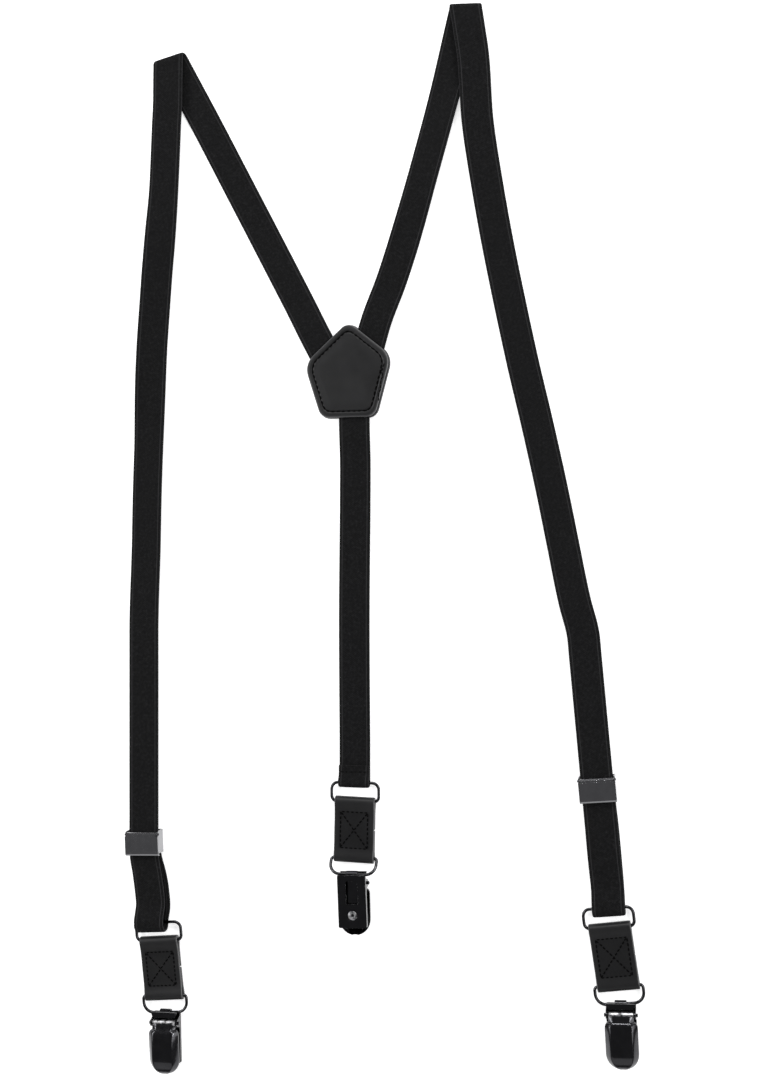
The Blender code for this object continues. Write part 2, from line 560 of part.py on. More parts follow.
for side, s in SIDES.items():
    x = s["axis_foot"][0] - math.tan(math.radians(s["lean"])) * (s["slider"] - s["axis_foot"][1])
    place = placed(x, s["slider"], s["lean"] + s["tilt"])
    hinge = (0, FLAP_B, FLAP_C)
    frame = shape(f"slider_frame_{side}", *prism_c(
        [(-SLIDER_HALF, -SLIDER_LONG), (SLIDER_HALF, -SLIDER_LONG), (SLIDER_HALF, SLIDER_LONG), (-SLIDER_HALF, SLIDER_LONG)],
        0.05, 0.6), place)
    wall = [(-5.5, 0.1), (5.5, 0.1), (5.6, 5.9), (5.2, 6.6), (4.6, 6.85), (-4.4, 6.85), (-5.3, 6.0)]
    for sign, key in ((-1, "a"), (1, "b")):
        low, high = sorted((sign * SLIDER_HALF, sign * (SLIDER_HALF - 0.6)))
        change(frame, shape(f"slider_frame_{side}_wall_{key}", *prism_a(wall, high, low), place, helper=True), "UNION")
    bar = [(-1.5, 2.45), (1.5, 2.45), (1.5, 3.0), (-1.5, 3.0)]
    change(frame, shape(f"slider_frame_{side}_bar", *prism_a(bar, SLIDER_HALF - 0.2), place, helper=True), "UNION")
    hole = prism_a(disc((FLAP_B, FLAP_C), FLAP_PIN_R + 0.15, 16), 10)
    change(frame, shape(f"slider_frame_{side}_hole", *hole, place, helper=True), "DIFFERENCE")
    paint(frame, "slider_nickel")

    # The flap covers the whole front. Its top is rolled round the pin between the walls, and a cam hangs below.
    plate = [(3.2, 7.0), (3.2, 7.6), (-5.4, 7.6), (-6.1, 7.3), (-6.4, 6.6), (-6.4, 5.7), (-5.9, 5.7),
             (-5.85, 6.5), (-5.4, 7.0)]
    flap = shape(f"slider_flap_{side}", *prism_a(plate, SLIDER_HALF), place, hinge)
    neck = [(2.6, 7.05), (2.6, 7.55), (4.1, 7.55), (4.8, 6.9), (4.0, 6.6)]
    change(flap, shape(f"slider_flap_{side}_neck", *prism_a(neck, 7.6), place, helper=True), "UNION")
    roll = prism_a(disc((FLAP_B, FLAP_C), FLAP_BARREL_R, 24), 7.5)
    change(flap, shape(f"slider_flap_{side}_roll", *roll, place, helper=True), "UNION")
    cam = prism_a([(2.6, 5.9), (2.8, 4.95), (3.7, 4.9), (4.2, 5.5)], 6.4)
    change(flap, shape(f"slider_flap_{side}_cam", *cam, place, helper=True), "UNION")
    change(flap, shape(f"slider_flap_{side}_bore", *hole, place, helper=True), "DIFFERENCE")
    paint(flap, "slider_nickel")

    pin = shape(f"slider_pin_{side}", *prism_a(disc((FLAP_B, FLAP_C), FLAP_PIN_R, 16), 9.0), place, hinge)
    paint(pin, "slider_nickel")
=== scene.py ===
"""Y-back suspenders laid down folded over: elastic webbing, a leather yoke and tabs, black-nickel clips."""

import json

import bmesh
import bpy
import numpy as np
from mathutils import Matrix


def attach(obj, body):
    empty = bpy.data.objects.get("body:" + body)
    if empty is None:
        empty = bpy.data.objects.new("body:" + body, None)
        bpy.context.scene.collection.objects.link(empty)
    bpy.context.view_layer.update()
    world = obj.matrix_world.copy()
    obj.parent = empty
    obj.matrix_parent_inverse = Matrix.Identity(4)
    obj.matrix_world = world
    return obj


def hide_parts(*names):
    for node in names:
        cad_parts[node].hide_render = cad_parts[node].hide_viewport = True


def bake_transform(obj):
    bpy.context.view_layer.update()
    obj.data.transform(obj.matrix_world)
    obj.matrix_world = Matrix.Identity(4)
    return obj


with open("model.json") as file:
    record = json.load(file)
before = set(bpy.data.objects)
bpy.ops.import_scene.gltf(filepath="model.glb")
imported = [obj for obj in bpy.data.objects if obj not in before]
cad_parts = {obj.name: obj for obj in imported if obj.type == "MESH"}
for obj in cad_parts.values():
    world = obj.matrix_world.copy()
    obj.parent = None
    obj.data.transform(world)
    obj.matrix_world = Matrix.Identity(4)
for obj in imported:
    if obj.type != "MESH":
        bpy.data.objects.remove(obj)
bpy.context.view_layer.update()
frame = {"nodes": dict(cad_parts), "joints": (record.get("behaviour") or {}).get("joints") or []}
scene = bpy.context.scene


# ---- The view --------------------------------------------------------------------------------------
# The pair is seen from above and a little to its right, twelve degrees off upright, from 0.7 m away.
# The camera is aimed at the bare surface between the two front straps, under the middle of the pair.

laid_at = np.array([0.003727, 0.004301, 0.0])  # the straps' routes below are measured from here
off_upright = np.radians(12.0)
sight = np.array([np.sin(off_upright), 0.0, np.cos(off_upright)])
stand = laid_at + 0.70 * sight

camera = bpy.data.objects.new("camera", bpy.data.cameras.new("camera"))
scene.collection.objects.link(camera)
camera.matrix_world = Matrix([
    [np.cos(off_upright), 0, sight[0], stand[0]],
    [0, 1, 0, stand[1]],
    [-np.sin(off_upright), 0, sight[2], stand[2]],
    [0, 0, 0, 1],
])
camera.data.lens = 49.0
camera.data.clip_start = 0.01
scene.camera = camera


# ---- The surface it lies on, and the light ---------------------------------------------------------
# A plain white board under wide soft boxes on four sides, lit enough to lose its shadows. The room
# overhead is left dim, so that flat metal stays dark, and three narrow strips draw lines on its bends.


def material(name, colour, metallic, roughness):
    """A new material, its node tree and its shader, with the colour, metal and roughness set."""
    made = bpy.data.materials.new(name)
    made.use_nodes = True
    shader = made.node_tree.nodes["Principled BSDF"]
    shader.inputs["Base Color"].default_value = (*colour, 1.0)
    shader.inputs["Metallic"].default_value = metallic
    shader.inputs["Roughness"].default_value = roughness
    made.diffuse_color = (*colour, 1.0)
    return made, made.node_tree, shader


board_white, tree, shader = material("board_white", (0.93, 0.93, 0.93), 0.0, 0.75)
shader.inputs["Emission Color"].default_value = (1, 1, 1, 1)
shader.inputs["Emission Strength"].default_value = 0.62
board_mesh = bpy.data.meshes.new("board")
far = 3.0
board_mesh.from_pydata([(-far, -far, 0), (far, -far, 0), (far, far, 0), (-far, far, 0)], [], [(0, 1, 2, 3)])
board = bpy.data.objects.new("board", board_mesh)
board_mesh.materials.append(board_white)
scene.collection.objects.link(board)

room = bpy.data.worlds.new("room")
room.use_nodes = True
room.node_tree.nodes["Background"].inputs["Color"].default_value = (0.15, 0.15, 0.155, 1)
room.node_tree.nodes["Background"].inputs["Strength"].default_value = 1.0
scene.world = room
scene.view_settings.view_transform = "Standard"

for name, place, wide, tall, watts in (
    ("box_left", (-1.15, 0.15, 0.85), 1.3, 0.9, 7.5),
    ("box_right", (1.20, 0.10, 0.80), 1.3, 0.9, 7.5),
    ("box_head", (0.10, 1.25, 0.85), 1.4, 0.8, 8.5),
    ("box_foot", (-0.10, -1.25, 0.80), 1.4, 0.8, 2.0),
    ("strip_left", (-0.62, 0.10, 0.50), 0.60, 0.025, 1.6),
    ("strip_right", (0.66, 0.05, 0.62), 0.60, 0.025, 1.6),
    ("strip_head", (0.05, 0.72, 0.80), 0.60, 0.025, 2.2),
):
    lamp = bpy.data.objects.new(name, bpy.data.lights.new(name, "AREA"))
    lamp.data.shape = "RECTANGLE"
    lamp.data.size, lamp.data.size_y, lamp.data.energy = wide, tall, watts
    scene.collection.objects.link(lamp)
    away = np.array(place) / np.linalg.norm(place)
    side = np.cross([0, 0, 1], away)
    side /= np.linalg.norm(side)
    top = np.cross(away, side)
    facing = np.stack([side, top, away], 1)
    lamp.matrix_world = Matrix([[*line, at] for line, at in zip(facing, place)] + [[0, 0, 0, 1]])


# ---- Elastic webbing -------------------------------------------------------------------------------
# Every strap is cut from the same black woven elastic, 15 mm wide and 1.4 mm thick, with a fine ribbed
# face and a thin paler line inside each selvedge. The straps start between the patches of the yoke.

web_half, web_half_thick, web_step = 0.0075, 0.0007, 0.0012
rib_wide, rib_long, line_off, line_wide = 0.00064, 0.00098, 0.0060, 0.00030
z_low, z_high, z_sewn = 0.00075, 0.00405, 0.00245  # its middle on the board, folded on top, and in the yoke
z_wire, roll_r = 0.0024, 0.00165  # the height of the rear ring's bar, and the middle's radius where it turns


def node(tree, kind, settings=None, **inputs):
    """A shader node with its settings and its inputs, each of which is a value or another node's output.
    An input is named by its label with _ for a space, or by its place, as i0."""
    made = tree.nodes.new("ShaderNode" + kind)
    for key, value in (settings or {}).items():
        setattr(made, key, value)
    for key, value in inputs.items():
        socket = made.inputs[int(key[1:])] if key[1:].isdigit() else made.inputs[key.replace("_", " ")]
        if isinstance(value, bpy.types.NodeSocket):
            tree.links.new(value, socket)
        else:
            socket.default_value = value
    return made


def reckon(tree, operation, *values):
    """The output of one Math node."""
    settings = {"operation": operation}
    return node(tree, "Math", settings, **{f"i{k}": v for k, v in enumerate(values)}).outputs[0]


def shade(tree, low, high, factor):
    """A colour from low to high as the factor goes from 0 to 1."""
    mix = node(tree, "Mix", {"data_type": "RGBA"}, i0=factor)
    for socket, colour in ((mix.inputs[6], low), (mix.inputs[7], high)):
        if isinstance(colour, bpy.types.NodeSocket):
            tree.links.new(colour, socket)
        else:
            socket.default_value = (*colour, 1.0)
    return mix.outputs[2]


elastic, tree, shader = material("ribbed_elastic", (0.0045, 0.0045, 0.0047), 0.0, 0.90)
shader.inputs["Specular IOR Level"].default_value = 0.09
shader.inputs["Sheen Weight"].default_value = 0.02
shader.inputs["Sheen Roughness"].default_value = 0.5
cloth_map = node(tree, "UVMap", {"uv_map": "weave"})
apart = node(tree, "SeparateXYZ", None, i0=cloth_map.outputs[0])
over, along = apart.outputs[0], apart.outputs[1]
column = reckon(tree, "DIVIDE", over, rib_wide)
offset = reckon(tree, "FRACT", reckon(tree, "MULTIPLY", reckon(tree, "FLOOR", column), 0.5))
rib = reckon(tree, "ADD", reckon(tree, "DIVIDE", along, rib_long), offset)
bulge = reckon(tree, "MULTIPLY",
               reckon(tree, "SINE", reckon(tree, "MULTIPLY", reckon(tree, "FRACT", column), np.pi)),
               reckon(tree, "SINE", reckon(tree, "MULTIPLY", reckon(tree, "FRACT", rib), np.pi)))
from_middle = reckon(tree, "ABSOLUTE", over)
line_gap = reckon(tree, "ABSOLUTE", reckon(tree, "SUBTRACT", from_middle, line_off))
pale_line = reckon(tree, "SUBTRACT", 1.0, reckon(tree, "DIVIDE", line_gap, line_wide))
pale_line = node(tree, "Clamp", None, i0=pale_line).outputs[0]
selvedge = reckon(tree, "GREATER_THAN", from_middle, 0.0063)
cord_rib = reckon(tree, "SINE", reckon(tree, "MULTIPLY", along, 2 * np.pi / 0.0013))
surface_at = node(tree, "TexCoord").outputs["Object"]
lint = node(tree, "TexNoise", None, Vector=surface_at, Scale=900.0, Detail=3.0, Roughness=0.7).outputs[0]
drift = node(tree, "TexNoise", None, Vector=surface_at, Scale=28.0, Detail=2.0).outputs[0]
# Between the ribs the colour is darker than on them: painted shade in the grooves of the weave.
woven = shade(tree, (0.0012, 0.0012, 0.0013), (0.0078, 0.0078, 0.0082), bulge)
woven = shade(tree, woven, (0.046, 0.046, 0.048), reckon(tree, "MULTIPLY", pale_line, 0.70))
dusty = reckon(tree, "MULTIPLY", reckon(tree, "POWER", lint, 4.0), 1.6)
woven = shade(tree, woven, (0.060, 0.060, 0.062), reckon(tree, "MULTIPLY", dusty, 0.50))
woven = shade(tree, woven, (0.012, 0.012, 0.0125), reckon(tree, "MULTIPLY", drift, 0.18))
rim = reckon(tree, "DIVIDE", reckon(tree, "SUBTRACT", from_middle, 0.00715), 0.0002)
rim = node(tree, "Clamp", None, i0=rim).outputs[0]
woven = shade(tree, woven, (0.040, 0.040, 0.042), reckon(tree, "MULTIPLY", rim, 0.5))
tree.links.new(woven, shader.inputs["Base Color"])
plain = reckon(tree, "SUBTRACT", 1.0, selvedge)
high = reckon(tree, "ADD", reckon(tree, "MULTIPLY", bulge, plain),
              reckon(tree, "MULTIPLY", reckon(tree, "MULTIPLY", cord_rib, selvedge), 0.45))
high = reckon(tree, "ADD", high, reckon(tree, "MULTIPLY", lint, 0.35))
bump = node(tree, "Bump", None, Strength=0.55, Distance=0.00016, Height=high)
tree.links.new(bump.outputs[0], shader.inputs["Normal"])


def smoothly(low, high, x):
    """0 before low and 1 after high, eased at both ends: 3t^2 - 2t^3 of the share of the way."""
    t = np.clip((x - low) / (high - low), 0, 1)
    return t * t * (3 - 2 * t)


def through(points, step):
    """A smooth line through the points, with a point every `step` of its length. Each point is left along
    its two chords' directions, each weighted by the other's length; a cubic joins it to the next."""
    p = np.asarray(points, float)
    chord = np.diff(p, axis=0)
    span = np.linalg.norm(chord, axis=1, keepdims=True)
    slope = chord / span
    between = (slope[:-1] * span[1:] + slope[1:] * span[:-1]) / (span[:-1] + span[1:])
    way = np.vstack([slope[:1], between, slope[-1:]])
    t = np.linspace(0, 1, 24, endpoint=False)[None, :, None]
    a, b, u, v = (values[:, None] for values in (p[:-1], p[1:], way[:-1] * span, way[1:] * span))
    fine = ((2 * t**3 - 3 * t**2 + 1) * a + (t**3 - 2 * t**2 + t) * u
            + (3 * t**2 - 2 * t**3) * b + (t**3 - t**2) * v)
    fine = np.vstack([fine.reshape(-1, p.shape[1]), p[-1:]])
    gone = measured(fine)
    at = np.linspace(0, gone[-1], max(2, round(gone[-1] / step) + 1))
    return np.stack([np.interp(at, gone, fine[:, k]) for k in range(p.shape[1])], -1)


def measured(line):
    """The length of the line up to each of its points."""
    return np.concatenate([[0], np.cumsum(np.linalg.norm(np.diff(line, axis=0), axis=1))])


def unit(vectors):
    return vectors / np.linalg.norm(vectors, axis=-1, keepdims=True)


def as_object(name, mesh, finish):
    """The mesh as an object in the scene: smooth, of the finish, with its faces turned outwards."""
    turned = bmesh.new()
    turned.from_mesh(mesh)
    bmesh.ops.recalc_face_normals(turned, faces=turned.faces)
    turned.to_mesh(mesh)
    turned.free()
    mesh.polygons.foreach_set("use_smooth", np.ones(len(mesh.polygons), bool))
    mesh.materials.append(finish)
    made = bpy.data.objects.new(name, mesh)
    scene.collection.objects.link(made)
    return made


def skin(name, grid, finish, map_at=None, ring=False, cut=None, angle=35.0):
    """The mesh over a grid of points, rows x columns x 3. The last column joins the first. The first and
    last rows are closed with a face each or, where ring is set, joined to each other. map_at is a grid of
    the same size for the UV map, and cut one of numbers for the attribute that marks cut edges."""
    rows, columns = grid.shape[:2]
    at = np.arange(rows * columns).reshape(rows, columns)
    if ring:
        at = np.vstack([at, at[:1]])
    right = np.roll(at, -1, axis=1)
    quads = np.stack([at[:-1], right[:-1], right[1:], at[1:]], -1).reshape(-1, 4).tolist()
    if not ring:
        quads += [at[0, ::-1].tolist(), at[-1].tolist()]
    mesh = bpy.data.meshes.new(name)
    mesh.from_pydata(grid.reshape(-1, 3), [], quads)
    if cut is not None:
        mesh.attributes.new("cut", "FLOAT", "POINT").data.foreach_set("value", cut.astype(np.float32).ravel())
    if map_at is not None:
        corner_at = np.empty(len(mesh.loops), np.int32)
        mesh.loops.foreach_get("vertex_index", corner_at)
        layer = mesh.uv_layers.new(name="weave")
        layer.data.foreach_set("uv", map_at.reshape(-1, 2)[corner_at].astype(np.float32).ravel())
    made = as_object(name, mesh, finish)
    mesh.set_sharp_from_angle(angle=np.radians(angle))
    return made


def webbing_section():
    """The webbing's cut end, as distances across and above its middle: the half thickness falls to nothing
    at the edge by the fourteenth power of the share of the way there, with a groove inside each selvedge."""
    w = np.sin(np.linspace(-1, 1, 27) * np.pi / 2) * 0.35 + np.linspace(-1, 1, 27) * 0.65
    thick = np.sqrt(1 - np.abs(w) ** 14 * 0.93)
    groove = 0.09 * np.exp(-(((np.abs(w) * 7.5 - 5.75) / 0.28) ** 2))
    top = np.stack([w, thick - groove], -1)
    return np.vstack([top, (top * (1, -1))[::-1]]) * (web_half, web_half_thick)


def webbing(name, line, start=0.0, turn=None, roll=0.0):
    """Webbing whose middle follows the line: each point of the cut end is set out sideways and upwards from
    it. Sideways is level and square to the line, or turned by `turn` from +X where the line climbs; roll
    tips the webbing about its own length. start is the length of strap that came before."""
    ahead = unit(np.gradient(line, axis=0))
    if turn is None:
        side = unit(np.stack([-ahead[:, 1], ahead[:, 0], 0 * ahead[:, 0]], -1))
    else:
        side = np.stack([np.cos(turn), np.sin(turn), 0 * turn], -1)
    over = unit(np.cross(side, ahead))
    if turn is None:
        over *= np.sign(over[:, 2:3] + 1e-9)
    tip = np.broadcast_to(roll, len(line))[:, None]
    side, over = side * np.cos(tip) + over * np.sin(tip), over * np.cos(tip) - side * np.sin(tip)
    w, h = webbing_section().T
    grid = line[:, None] + side[:, None] * w[None, :, None] + over[:, None] * h[None, :, None]
    gone = start + measured(line)
    map_at = np.stack(np.broadcast_arrays(w[None], gone[:, None]), -1)
    return skin(name, grid, elastic, map_at), gone[-1]


# ---- Back straps and shoulder folds ----------------------------------------------------------------
# Each back strap runs from inside the yoke to the shoulder, where the webbing is turned over a slanting
# crease, with nothing sewn. Past the crease the same webbing comes back on top as the front strap.

back_routes = {
    "left": [(-0.0273, 0.0854), (-0.0381, 0.1058), (-0.0574, 0.1425), (-0.0732, 0.1724), (-0.0895, 0.2032)],
    "right": [(-0.0082, 0.0893), (-0.0038, 0.1047), (0.0040, 0.1260), (0.0130, 0.1540), (0.0212, 0.1820),
              (0.0299, 0.2140)],
}
creases = {"left": ((-0.1150, 0.2349), (-0.0997, 0.2387)), "right": ((0.0312, 0.25195), (0.0460, 0.25135))}
back_tip = {"left": 0.0, "right": np.radians(-9)}
fold_reach = 0.014
folded = {}

for side in ("left", "right"):
    low_end, high_end = (np.array(p) for p in creases[side])
    slant = unit(high_end - low_end)
    outward = np.array([-slant[1], slant[0]])
    crease = (low_end + high_end) / 2 - outward * (roll_r + web_half_thick)
    last = np.array(back_routes[side][-1])
    heading = unit(crease + outward * roll_r * 0.6 - last)
    square = np.array([-heading[1], heading[0]])
    rise = heading @ outward
    foot = last + heading * ((crease - last) @ outward / rise - fold_reach)

    flat = through([*back_routes[side], tuple(foot)], web_step)
    gone = measured(flat)
    z = z_sewn + (z_low - z_sewn) * smoothly(0.012, 0.034, gone)
    tip = back_tip[side] * smoothly(0.05, 0.09, gone) * smoothly(gone[-1], gone[-1] - 0.04, gone)
    line = np.column_stack([flat, z + np.abs(np.sin(tip)) * web_half]) + laid_at
    strap, gone_by = webbing(f"back_strap_{side}_webbing", line, 0.0, None, tip)
    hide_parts(f"back_strap_{side}")
    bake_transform(strap)

    # The fold: flat webbing is rolled over the crease. A point past the crease by less than half a turn of
    # the roll goes round it, and one further past comes back along the top by what is left.
    long = 2 * fold_reach + np.pi * roll_r / rise
    w, h = webbing_section().T
    run = np.linspace(0, long, 64)
    flat = foot + heading * run[:, None, None] + square * w[None, :, None]
    past = (flat - crease) @ outward
    arc = np.pi * roll_r
    going_round = (roll_r - h) * np.sin(past / roll_r) - past
    shift = np.where(past <= 0, 0, np.where(past < arc, going_round, arc - 2 * past))
    turned = z_low + roll_r - (roll_r - h) * np.cos(np.clip(past / roll_r, 0, np.pi))
    grid = np.concatenate([flat + outward * shift[..., None], turned[..., None]], -1) + laid_at
    map_at = np.stack(np.broadcast_arrays(w[None], gone_by + run[:, None]), -1)
    fold = skin(f"shoulder_fold_{side}_webbing", grid, elastic, map_at)
    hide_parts(f"shoulder_fold_{side}")
    middle = np.append(crease, 0) + laid_at
    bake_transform(fold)
    end = foot + heading * long
    over_by = (end - crease) @ outward
    folded[side] = (end + outward * (arc - 2 * over_by), heading - 2 * rise * outward, gone_by + long)


# ---- Front straps and adjuster loops ---------------------------------------------------------------
# The front strap runs down to a slider, through it to the ring, round the ring's bar and back up behind
# itself to the slider's crossbar. It is straight and clear of the board wherever the slider can travel.

front_routes = {
    "left": [(-0.1086, 0.2030), (-0.1099, 0.1738), (-0.1116, 0.1445), (-0.1143, 0.1150), (-0.1164, 0.0860),
             (-0.1182, 0.0565), (-0.1194, 0.0270), (-0.1200, -0.0025), (-0.1203, -0.0320), (-0.1203, -0.0520),
             (-0.1203, -0.1420)],
    "right": [(0.0450, 0.1942), (0.0493, 0.1659), (0.0542, 0.1376), (0.0599, 0.1095), (0.0660, 0.0814),
              (0.0726, 0.0534), (0.0788, 0.0255), (0.0845, -0.0023), (0.0899, -0.0280), (0.09394, -0.0440),
              (0.09469, -0.0520), (0.09693, -0.0760), (0.10198, -0.1300)],
}
down_routes = {
    "left": [(-0.1202, -0.1545), (-0.1186, -0.1640), (-0.1171, -0.1750)],
    "right": [(0.1036, -0.1480), (0.1049, -0.1600)],
}
up_routes = {
    "left": [(-0.1154, -0.1810), (-0.1160, -0.1720), (-0.1177, -0.1620), (-0.1198, -0.1535)],
    "right": [(0.1051, -0.1630), (0.1039, -0.1480), (0.1022, -0.1300), (0.10105, -0.1200)],
}
web_at_bar = {"left": -0.1164, "right": 0.1054}
proud = {"left": 0.0080, "right": 0.0066}
front_tip = {"left": (np.radians(-26), 0.045, 0.095, 0.150), "right": (0.0, 0.05, 0.10, 0.15)}


def hinge_frame(joint, sense=1):
    """A joint's place and the three directions at it: along its axis, up towards the shoulders, and square
    to both. sense is -1 where the joint's axis points against the piece's own right."""
    found = next(j for j in frame["joints"] if j["name"] == joint)
    right = unit(np.array(found["axis"], float)) * sense
    up = unit(np.array([-right[1], right[0], 0.0]))
    up = up if up[1] > 0 else -up
    return np.array(found["pos_m"], float), right, up, np.cross(right, up)


for side in ("left", "right"):
    start, leaving, gone_by = folded[side]
    flat = through([start, start + 0.005 * leaving, *front_routes[side]], web_step)
    gone = measured(flat)
    angle, first, middle, final = front_tip[side]
    tip = angle * smoothly(first, middle, gone) * smoothly(final + 0.03, final - 0.03, gone)
    settle = smoothly(0.060, 0.110, gone) * smoothly(gone[-1] - 0.095, gone[-1] - 0.145, gone)
    z = z_high - (z_high - 0.0016) * settle + np.abs(np.sin(tip)) * web_half
    line = np.column_stack([flat, z]) + laid_at
    strap, gone_by = webbing(f"front_strap_{side}_webbing", line, gone_by, None, tip)
    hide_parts(f"front_strap_{side}")
    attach(strap, f"front_{side}")

    # Down the front, under the ring's bar and out behind it.
    bar, bar_right, _, _ = hinge_frame(f"ring_swing_{side}")
    bar_at = bar - laid_at
    bar_y = bar_at[1] + bar_right[1] / bar_right[0] * (web_at_bar[side] - bar_at[0])
    bar_turn = np.arctan2(bar_right[1], bar_right[0])
    down = through([front_routes[side][-1], *down_routes[side], (web_at_bar[side], bar_y + 0.0006)], web_step)
    lean = np.arctan2(down[0, 0] - front_routes[side][-2][0], front_routes[side][-2][1] - down[0, 1])
    swing = np.linspace(np.pi / 2, -np.pi / 2, 25)
    crest = proud[side]
    loop_r = (crest - z_low) / 2
    reach = -loop_r * np.cos(swing)
    round_bar = np.column_stack([
        web_at_bar[side] - np.sin(bar_turn) * reach,
        bar_y + np.cos(bar_turn) * reach,
        z_low + loop_r + loop_r * np.sin(swing),
    ])
    lifted = z_high + (crest - z_high) * smoothly(bar_y + 0.0105, bar_y + 0.0010, down[:-1, 1])
    line = np.vstack([np.column_stack([down[:-1], lifted]), round_bar])
    turns = lean + (bar_turn - lean) * smoothly(0.040, 0.005, np.abs(line[:, 1] - bar_y))
    run, run_end = webbing(f"adjuster_front_{side}_webbing", line + laid_at, gone_by, turns)
    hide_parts(f"adjuster_loop_{side}")
    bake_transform(run)

    # Back up behind to the slider's crossbar.
    pin, _, pin_up, _ = hinge_frame(f"flap_{side}_open", -1)
    slider_at = pin - laid_at - 0.0040 * pin_up
    top = slider_at[:2] + 0.0025 * pin_up[:2]
    up = through([(web_at_bar[side], bar_y), *up_routes[side], tuple(top)], web_step)
    clear = slider_at[1] - bar_y
    z = z_low + 0.0008 * smoothly(clear - 0.022, clear - 0.007, up[:, 1] - bar_y)
    line = np.column_stack([up, z])
    turns = lean + (bar_turn - lean) * smoothly(0.040, 0.005, np.abs(line[:, 1] - bar_y))
    back, back_end = webbing(f"adjuster_back_{side}_webbing", line + laid_at, run_end, turns)
    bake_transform(back)


# ---- The rear strap and its sewn end ---------------------------------------------------------------
# One strap runs from the yoke down to the rear ring. Its end is turned up round the ring's bar on the
# side that shows, and held by one row of stitches 3 mm below the cut end.

rear_x = -0.0148
rear_route = [(rear_x, 0.0800), (rear_x + 0.0002, 0.0300), (rear_x - 0.0003, -0.0400), (rear_x, -0.0950)]
flat = through(rear_route, web_step)
gone = measured(flat)
z = z_sewn + (z_low - z_sewn) * smoothly(0.024, 0.044, gone)
line = np.column_stack([flat, z]) + laid_at
strap, gone_by = webbing("rear_strap_webbing", line, 0.0, None)
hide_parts("rear_strap")
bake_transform(strap)

bar, _, _, _ = hinge_frame("ring_swing_rear")
bar_y = bar[1] - laid_at[1]
swing = np.linspace(-np.pi / 2, np.pi / 2, 25)
turned_up = np.column_stack([
    np.full(len(swing), rear_x), bar_y - roll_r * np.cos(swing), z_wire + roll_r * np.sin(swing),
])
laid_back = np.array([(rear_x, -0.1146, 0.00378), (rear_x, -0.1126, 0.00282), (rear_x, -0.1112, 0.00242),
                      (rear_x, -0.1090, 0.00238), (rear_x, -0.1075, 0.00240)])
line = np.vstack([[(rear_x, -0.0950, z_low), (rear_x, -0.1000, z_low), (rear_x, -0.1060, z_low),
                   (rear_x, -0.1120, z_low)], turned_up, laid_back])
line = through(line, 0.0006) + laid_at
hem, hem_end = webbing("rear_hem_webbing", line, gone_by, np.zeros(len(line)))
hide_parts("rear_strap_end")
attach(hem, "rear_end")


# ---- Leather yoke ----------------------------------------------------------------------------------
# Two patches of smooth black leather, cut as a pentagon with rounded corners and sewn together over the
# three strap ends. The cut edges are sealed and shiny, with a painted highlight along them, and the seam
# presses a shallow channel, painted darker as painted shade.

leather, tree, shader = material("smooth_black_leather", (0.014, 0.014, 0.0145), 0.0, 0.40)
shader.inputs["Specular IOR Level"].default_value = 0.32
surface_at = node(tree, "TexCoord").outputs["Object"]
pores = node(tree, "TexVoronoi", {"feature": "DISTANCE_TO_EDGE"}, Vector=surface_at, Scale=1300.0).outputs[0]
fine = node(tree, "TexNoise", None, Vector=surface_at, Scale=2600.0, Detail=3.0).outputs[0]
broad = node(tree, "TexNoise", None, Vector=surface_at, Scale=90.0, Detail=3.0, Roughness=0.6).outputs[0]
# The "cut" attribute is positive at the cut edges, where it paints a highlight. It is negative in the seam's
# channel, where it paints shade, and inside a tab's stitched box, which it makes darker.
edge_light_and_channel_shade = node(tree, "Attribute", {"attribute_name": "cut"}).outputs["Fac"]
painted_edge_highlight = reckon(tree, "MAXIMUM", edge_light_and_channel_shade, 0.0)
pressed = reckon(tree, "MAXIMUM", reckon(tree, "MULTIPLY", edge_light_and_channel_shade, -1.0), 0.0)
tone = shade(tree, (0.0085, 0.0085, 0.009), (0.0155, 0.0155, 0.016), broad)
tone = shade(tree, tone, (0.110, 0.110, 0.113), reckon(tree, "MULTIPLY", painted_edge_highlight, 0.80))
tone = shade(tree, tone, (0.0012, 0.0012, 0.0012), reckon(tree, "MULTIPLY", pressed, 0.92))
dulled = reckon(tree, "SUBTRACT", 0.32, reckon(tree, "MULTIPLY", pressed, 0.30))
tree.links.new(dulled, shader.inputs["Specular IOR Level"])
tree.links.new(tone, shader.inputs["Base Color"])
gloss = reckon(tree, "ADD", 0.33, reckon(tree, "MULTIPLY", broad, 0.16))
gloss = reckon(tree, "SUBTRACT", gloss, reckon(tree, "MULTIPLY", painted_edge_highlight, 0.10))
tree.links.new(gloss, shader.inputs["Roughness"])
grain = reckon(tree, "ADD", pores, reckon(tree, "MULTIPLY", fine, 0.5))
bump = node(tree, "Bump", None, Strength=0.30, Distance=0.00006, Height=grain)
tree.links.new(bump.outputs[0], shader.inputs["Normal"])

leather_thick, inner_low, seam_in = 0.0015, 0.0034, 0.0029
yoke_corners = np.array([(-0.0173, 0.1044), (0.0038, 0.0876), (-0.0040, 0.0582),
                         (-0.0308, 0.0580), (-0.0392, 0.0842)])
yoke_rounding = np.array([0.0050, 0.0090, 0.0055, 0.0055, 0.0090])[:, None]


def moved_in(corners, by):
    """A polygon, listed clockwise, with every side moved in by `by`: each corner goes along the sum of the
    two sides' normals, shared so that it stays on both moved sides."""
    before, after = unit(corners - np.roll(corners, 1, 0)), unit(np.roll(corners, -1, 0) - corners)
    share = -by / (1 + (before * after).sum(1, keepdims=True))
    return corners + share * ((before + after)[:, ::-1] * (-1, 1))


